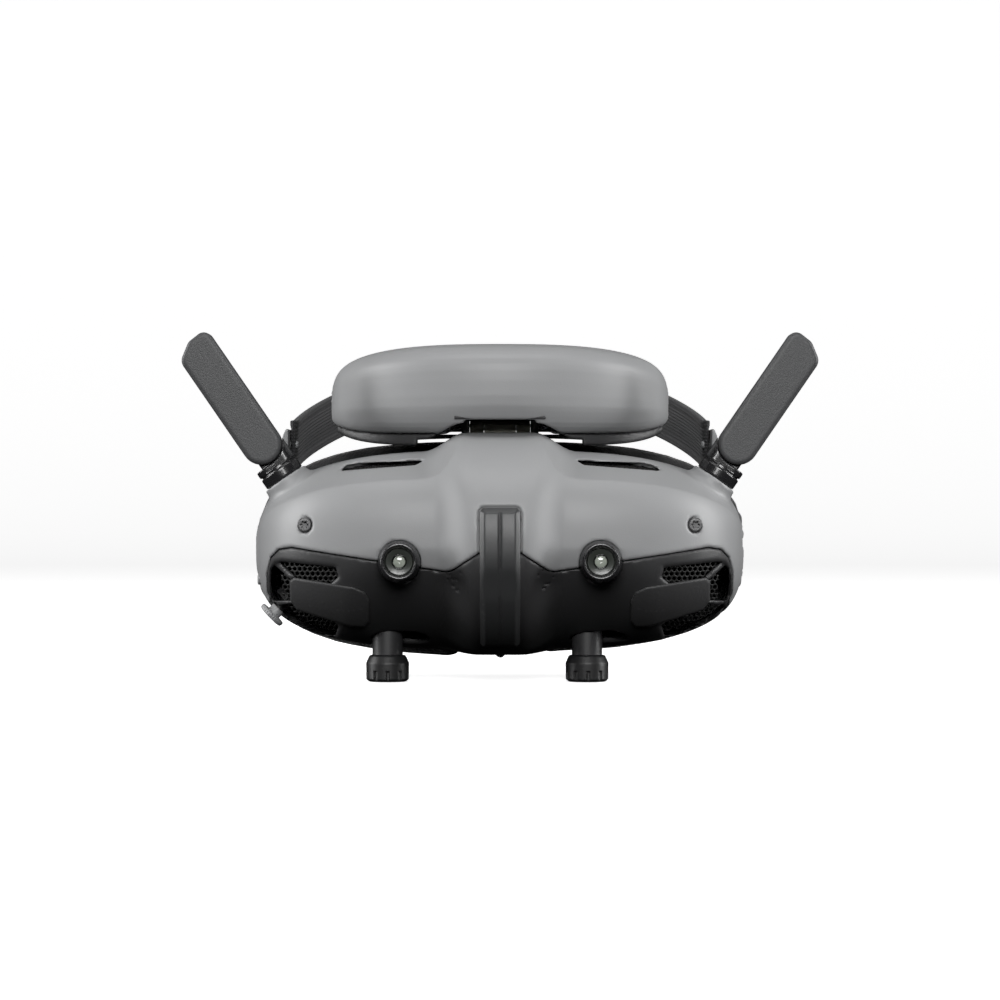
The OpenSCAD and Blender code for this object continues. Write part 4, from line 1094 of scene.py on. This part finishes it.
for name, field, low, high, body in (
    ("back_button", back_button_field, (-80, 47, 30), (-74, 57, 36), "back_key"),
    ("power_button", power_button_field, (74, 47, 40), (80, 57, 50), "power_key"),
):
    settle(solid(name + ".key", field, low, high, 0.18, MATERIALS["grey_shell"]), body, "grey_shell", name)


# ---------------------------------------------------------------- headband

def band_place(t):
    """A point on the band's middle line in plan; beyond 90 degrees it runs straight to the front."""
    if abs(t) > 90:
        return np.array([math.copysign(BAND_HALF_X, t), OVAL_Y - (abs(t) - 90)])
    a = math.radians(t)
    return np.array([
        BAND_HALF_X * math.copysign(abs(math.sin(a)) ** (2 / OVAL_EXP), a),
        OVAL_Y + OVAL_L * abs(math.cos(a)) ** (2 / OVAL_EXP)])


def band_line(count):
    """Evenly spaced points along the middle line, in plan, with their distances from one end."""
    end = 90 + OVAL_Y - BAND_START_Y
    fine = np.array([band_place(t) for t in np.linspace(-end, end, 4001)])
    far = np.concatenate([[0], np.cumsum(np.linalg.norm(np.diff(fine, axis=0), axis=1))])
    marks = np.linspace(0, far[-1], count)
    return np.stack([np.interp(marks, far, fine[:, k]) for k in (0, 1)], 1), marks


def band_height(y):
    return BAND_Z + BAND_RISE * (y - BAND_START_Y) ** 2


def band_outline():
    """The band's cross-section as (outwards, up): ribs on both faces between thicker hems."""
    half = BAND_W / 2
    heights = np.linspace(half - 0.35, 0.35 - half, 85)
    hem = step_up(np.abs(heights), half - 2.2, half - 1.7)
    ribs = BAND_T / 2 - 0.24 + 0.11 * np.cos(math.tau * heights / 1.15) * (1 - hem) + 0.24 * hem
    edge = [(0.86, half - 0.1), (0.5, half), (-0.5, half), (-0.86, half - 0.1)]
    return ([(o, h) for o, h in zip(ribs, heights)] + [(o, -h) for o, h in edge]
            + [(-o, -h) for o, h in zip(ribs, heights)] + [(-o, h) for o, h in edge])


def swept_band():
    line, marks = band_line(331)
    outline = band_outline()
    ahead = np.gradient(line, axis=0)
    ahead /= np.linalg.norm(ahead, axis=1, keepdims=True)
    outwards = np.stack([-ahead[:, 1], ahead[:, 0]], 1)
    ends = np.minimum(marks, marks[-1] - marks)
    points, uvs = [], []
    for place, out, mark, end in zip(line, outwards, marks, ends):
        thin = math.sqrt(1 - (1 - min(end / 1.0, 1)) ** 2) * 0.92 + 0.08
        for o, h in outline:
            points.append((*(place + out * o * thin), band_height(place[1]) + h))
            uvs.append((mark, h))
    n = len(outline)
    faces = [(i * n + j, i * n + (j + 1) % n, (i + 1) * n + (j + 1) % n, (i + 1) * n + j)
             for i in range(len(line) - 1) for j in range(n)]
    faces += [tuple(range(n))[::-1], tuple(range(len(points) - n, len(points)))]
    band = new_piece("headband.webbing", points, faces, MATERIALS["band_fabric"])
    layer = band.data.uv_layers.new(name="threads")
    corners = np.zeros(len(band.data.loops), int)
    band.data.loops.foreach_get("vertex_index", corners)
    layer.data.foreach_set("uv", np.array(uvs)[corners].ravel())
    return band


band = swept_band()
settle(band, "housing", "band_fabric", "headband")


def stitches():
    """Two upright rows of thread through the band behind an anchor."""
    parts = []
    for y in (88.5, 91.5):
        for k in range(9):
            z = band_height(y) - 6.4 + 1.6 * k
            low, high = (69.2, y - 0.28, z - 0.62), (70.0, y + 0.28, z + 0.62)
            field = lambda a, b, c: box_field(a, b, c, low, high, 0.27)
            parts.append(surface_nets(field, (69, y - 0.7, z - 1), (70.2, y + 0.7, z + 1), 0.16))
    return join(*parts)


pair("{}_band_stitches", *stitches(), THREAD, "band_fabric", "housing", first="right")


def anchor_field(x, y, z):
    """A plate outside the band with a sloping top, on a foot that goes down into the housing."""
    f = soft_max(x - 71.65, 69.65 - x, 0.3)
    f = soft_max(f, np.abs(y - 73) - 11, 0.5)
    f = soft_max(f, np.maximum(64.4 - z, z - 82.2), 0.4)
    f = soft_max(f, (x - 71.65) * 0.91 + (z - 79.6) * 0.42, 0.5)
    foot = box_field(x, y, z, (67.5, 64, 59), (71.5, 78, 66), 0.4)
    f = soft_min(f, foot, 0.6)
    for rivet in (75, 80):
        f = np.minimum(f, rod(x, y, z, (0, rivet, BAND_Z), (1, 0, 0), 1.2, 67.15, 69.9, 0.3))
        f = soft_min(f, rod(x, y, z, (0, rivet, BAND_Z), (1, 0, 0), 1.9, 71.2, 71.62, 0.3), 0.2)
    return f


pair("{}_strap_anchor.plate", *surface_nets(anchor_field, (66, 61, 58), (73, 86, 84), 0.35),
     MATERIALS["anchor_plastic"], "anchor_plastic", "housing", "{}_strap_anchor", first="right")


def adjuster_field(x, y, z):
    """A slide buckle: two rungs over the band and a flat back."""
    z = z - band_height(OVAL_Y + OVAL_L)
    f = box_field(x, y, z, (-12, 190.4, -11.5), (12, 196, 11.5), 1.4)
    f = soft_max(f, -box_field(x, y, z, (-14, 191.5, -9.2), (14, 194.8, 9.2), 0.6), 0.5)
    for start in (-7.5, 2.5):
        f = soft_max(f, -box_field(x, y, z, (start, 188, -9.2), (start + 5, 193, 9.2), 1.0), 0.6)
    groove = np.hypot(np.hypot(np.maximum(np.abs(x) - 7, 0), np.maximum(np.abs(z) - 6, 0)) - 2, y - 196.15)
    return soft_max(f, 0.45 - groove, 0.3)


settle(solid("strap_adjuster.buckle", adjuster_field, (-14, 188, 87), (14, 198, 115), 0.4,
             MATERIALS["black_plastic"]), "housing", "black_plastic", "strap_adjuster")


# ---------------------------------------------------------------- CAD nodes that stay

for subpart in frame["record"]["subparts"]:
    kept = frame["nodes"][subpart["node"]].data.materials
    kept.clear()
    kept.append(MATERIALS[subpart["material_slot"]])


# ---------------------------------------------------------------- light, floor and camera

def look_at(thing, target):
    thing.rotation_euler = (Vector(target) - thing.location).to_track_quat("-Z", "Y").to_euler()


def soft_light(name, place, width, height, watts):
    light = bpy.data.lights.new(name, "AREA")
    light.shape = "RECTANGLE"
    light.size = width
    light.size_y = height
    light.energy = watts
    lamp = bpy.data.objects.new(name, light)
    lamp.location = place
    look_at(lamp, (0, 0, 0.05))
    bpy.context.collection.objects.link(lamp)


def stage_piece(name, points, faces, material):
    mesh = bpy.data.meshes.new(name)
    mesh.from_pydata(points, [], faces)
    mesh.shade_smooth()
    mesh.materials.append(material)
    thing = bpy.data.objects.new(name, mesh)
    bpy.context.collection.objects.link(thing)
    return thing


def backdrop():
    """A pale floor that curves up all round, so that every view has the same background.

    It throws no light up under the goggles, which the photograph shows dark underneath.
    """
    flat, rise, bend, count = 2.2, 2.6, 0.8, 48
    profile = [(0.0, 0.0), (flat, 0.0)]
    for k in range(1, 13):
        a = math.radians(90 * k / 12)
        profile.append((flat + bend * math.sin(a), bend - bend * math.cos(a)))
    profile.append((flat + bend, rise))
    points = [(r * math.cos(math.tau * k / count), r * math.sin(math.tau * k / count), z)
              for k in range(count) for r, z in profile]
    n = len(profile)
    faces = [(k * n + j, k * n + j + 1, (k + 1) % count * n + j + 1, (k + 1) % count * n + j)
             for k in range(count) for j in range(n - 1)]
    pale = material_named("floor", (0.86, 0.86, 0.86), rough=0.8, mottle=0.01, glow=0.95)
    floor = stage_piece("floor", points, faces, pale)
    floor.visible_diffuse = False
    floor.visible_glossy = False


def sky():
    """Even light from above that fades out below the goggles."""
    world = bpy.data.worlds.new("studio")
    world.use_nodes = True
    tree = world.node_tree
    place = tree.nodes.new("ShaderNodeTexCoord").outputs["Generated"]
    split = tree.nodes.new("ShaderNodeSeparateXYZ")
    tree.links.new(place, split.inputs["Vector"])
    level = spread(tree, split.outputs["Z"], 0.07, 0.42, -0.45, 0.5)
    tree.links.new(level, tree.nodes["Background"].inputs["Strength"])
    bpy.context.scene.world = world


def studio():
    backdrop()
    sky()
    soft_light("key", (0, -1.6, 0.62), 0.8, 0.5, 21)
    soft_light("overhead", (0, -0.3, 1.3), 1.0, 0.7, 6)
    soft_light("left_strip", (-1.2, -0.1, 0.35), 0.3, 1.0, 16)
    soft_light("right_strip", (1.2, -0.1, 0.35), 0.3, 1.0, 16)
    bpy.context.scene.view_settings.view_transform = "Standard"


def camera():
    """A long lens at the goggles' own height, far enough back to see both antennas."""
    lens = bpy.data.cameras.new("camera")
    lens.lens = 135.96
    lens.sensor_width = 36
    eye = bpy.data.objects.new("camera", lens)
    eye.location = (0, -1.278, 0.0588)
    eye.rotation_euler = (math.radians(90), 0, 0)
    bpy.context.collection.objects.link(eye)
    bpy.context.scene.camera = eye


studio()
camera()
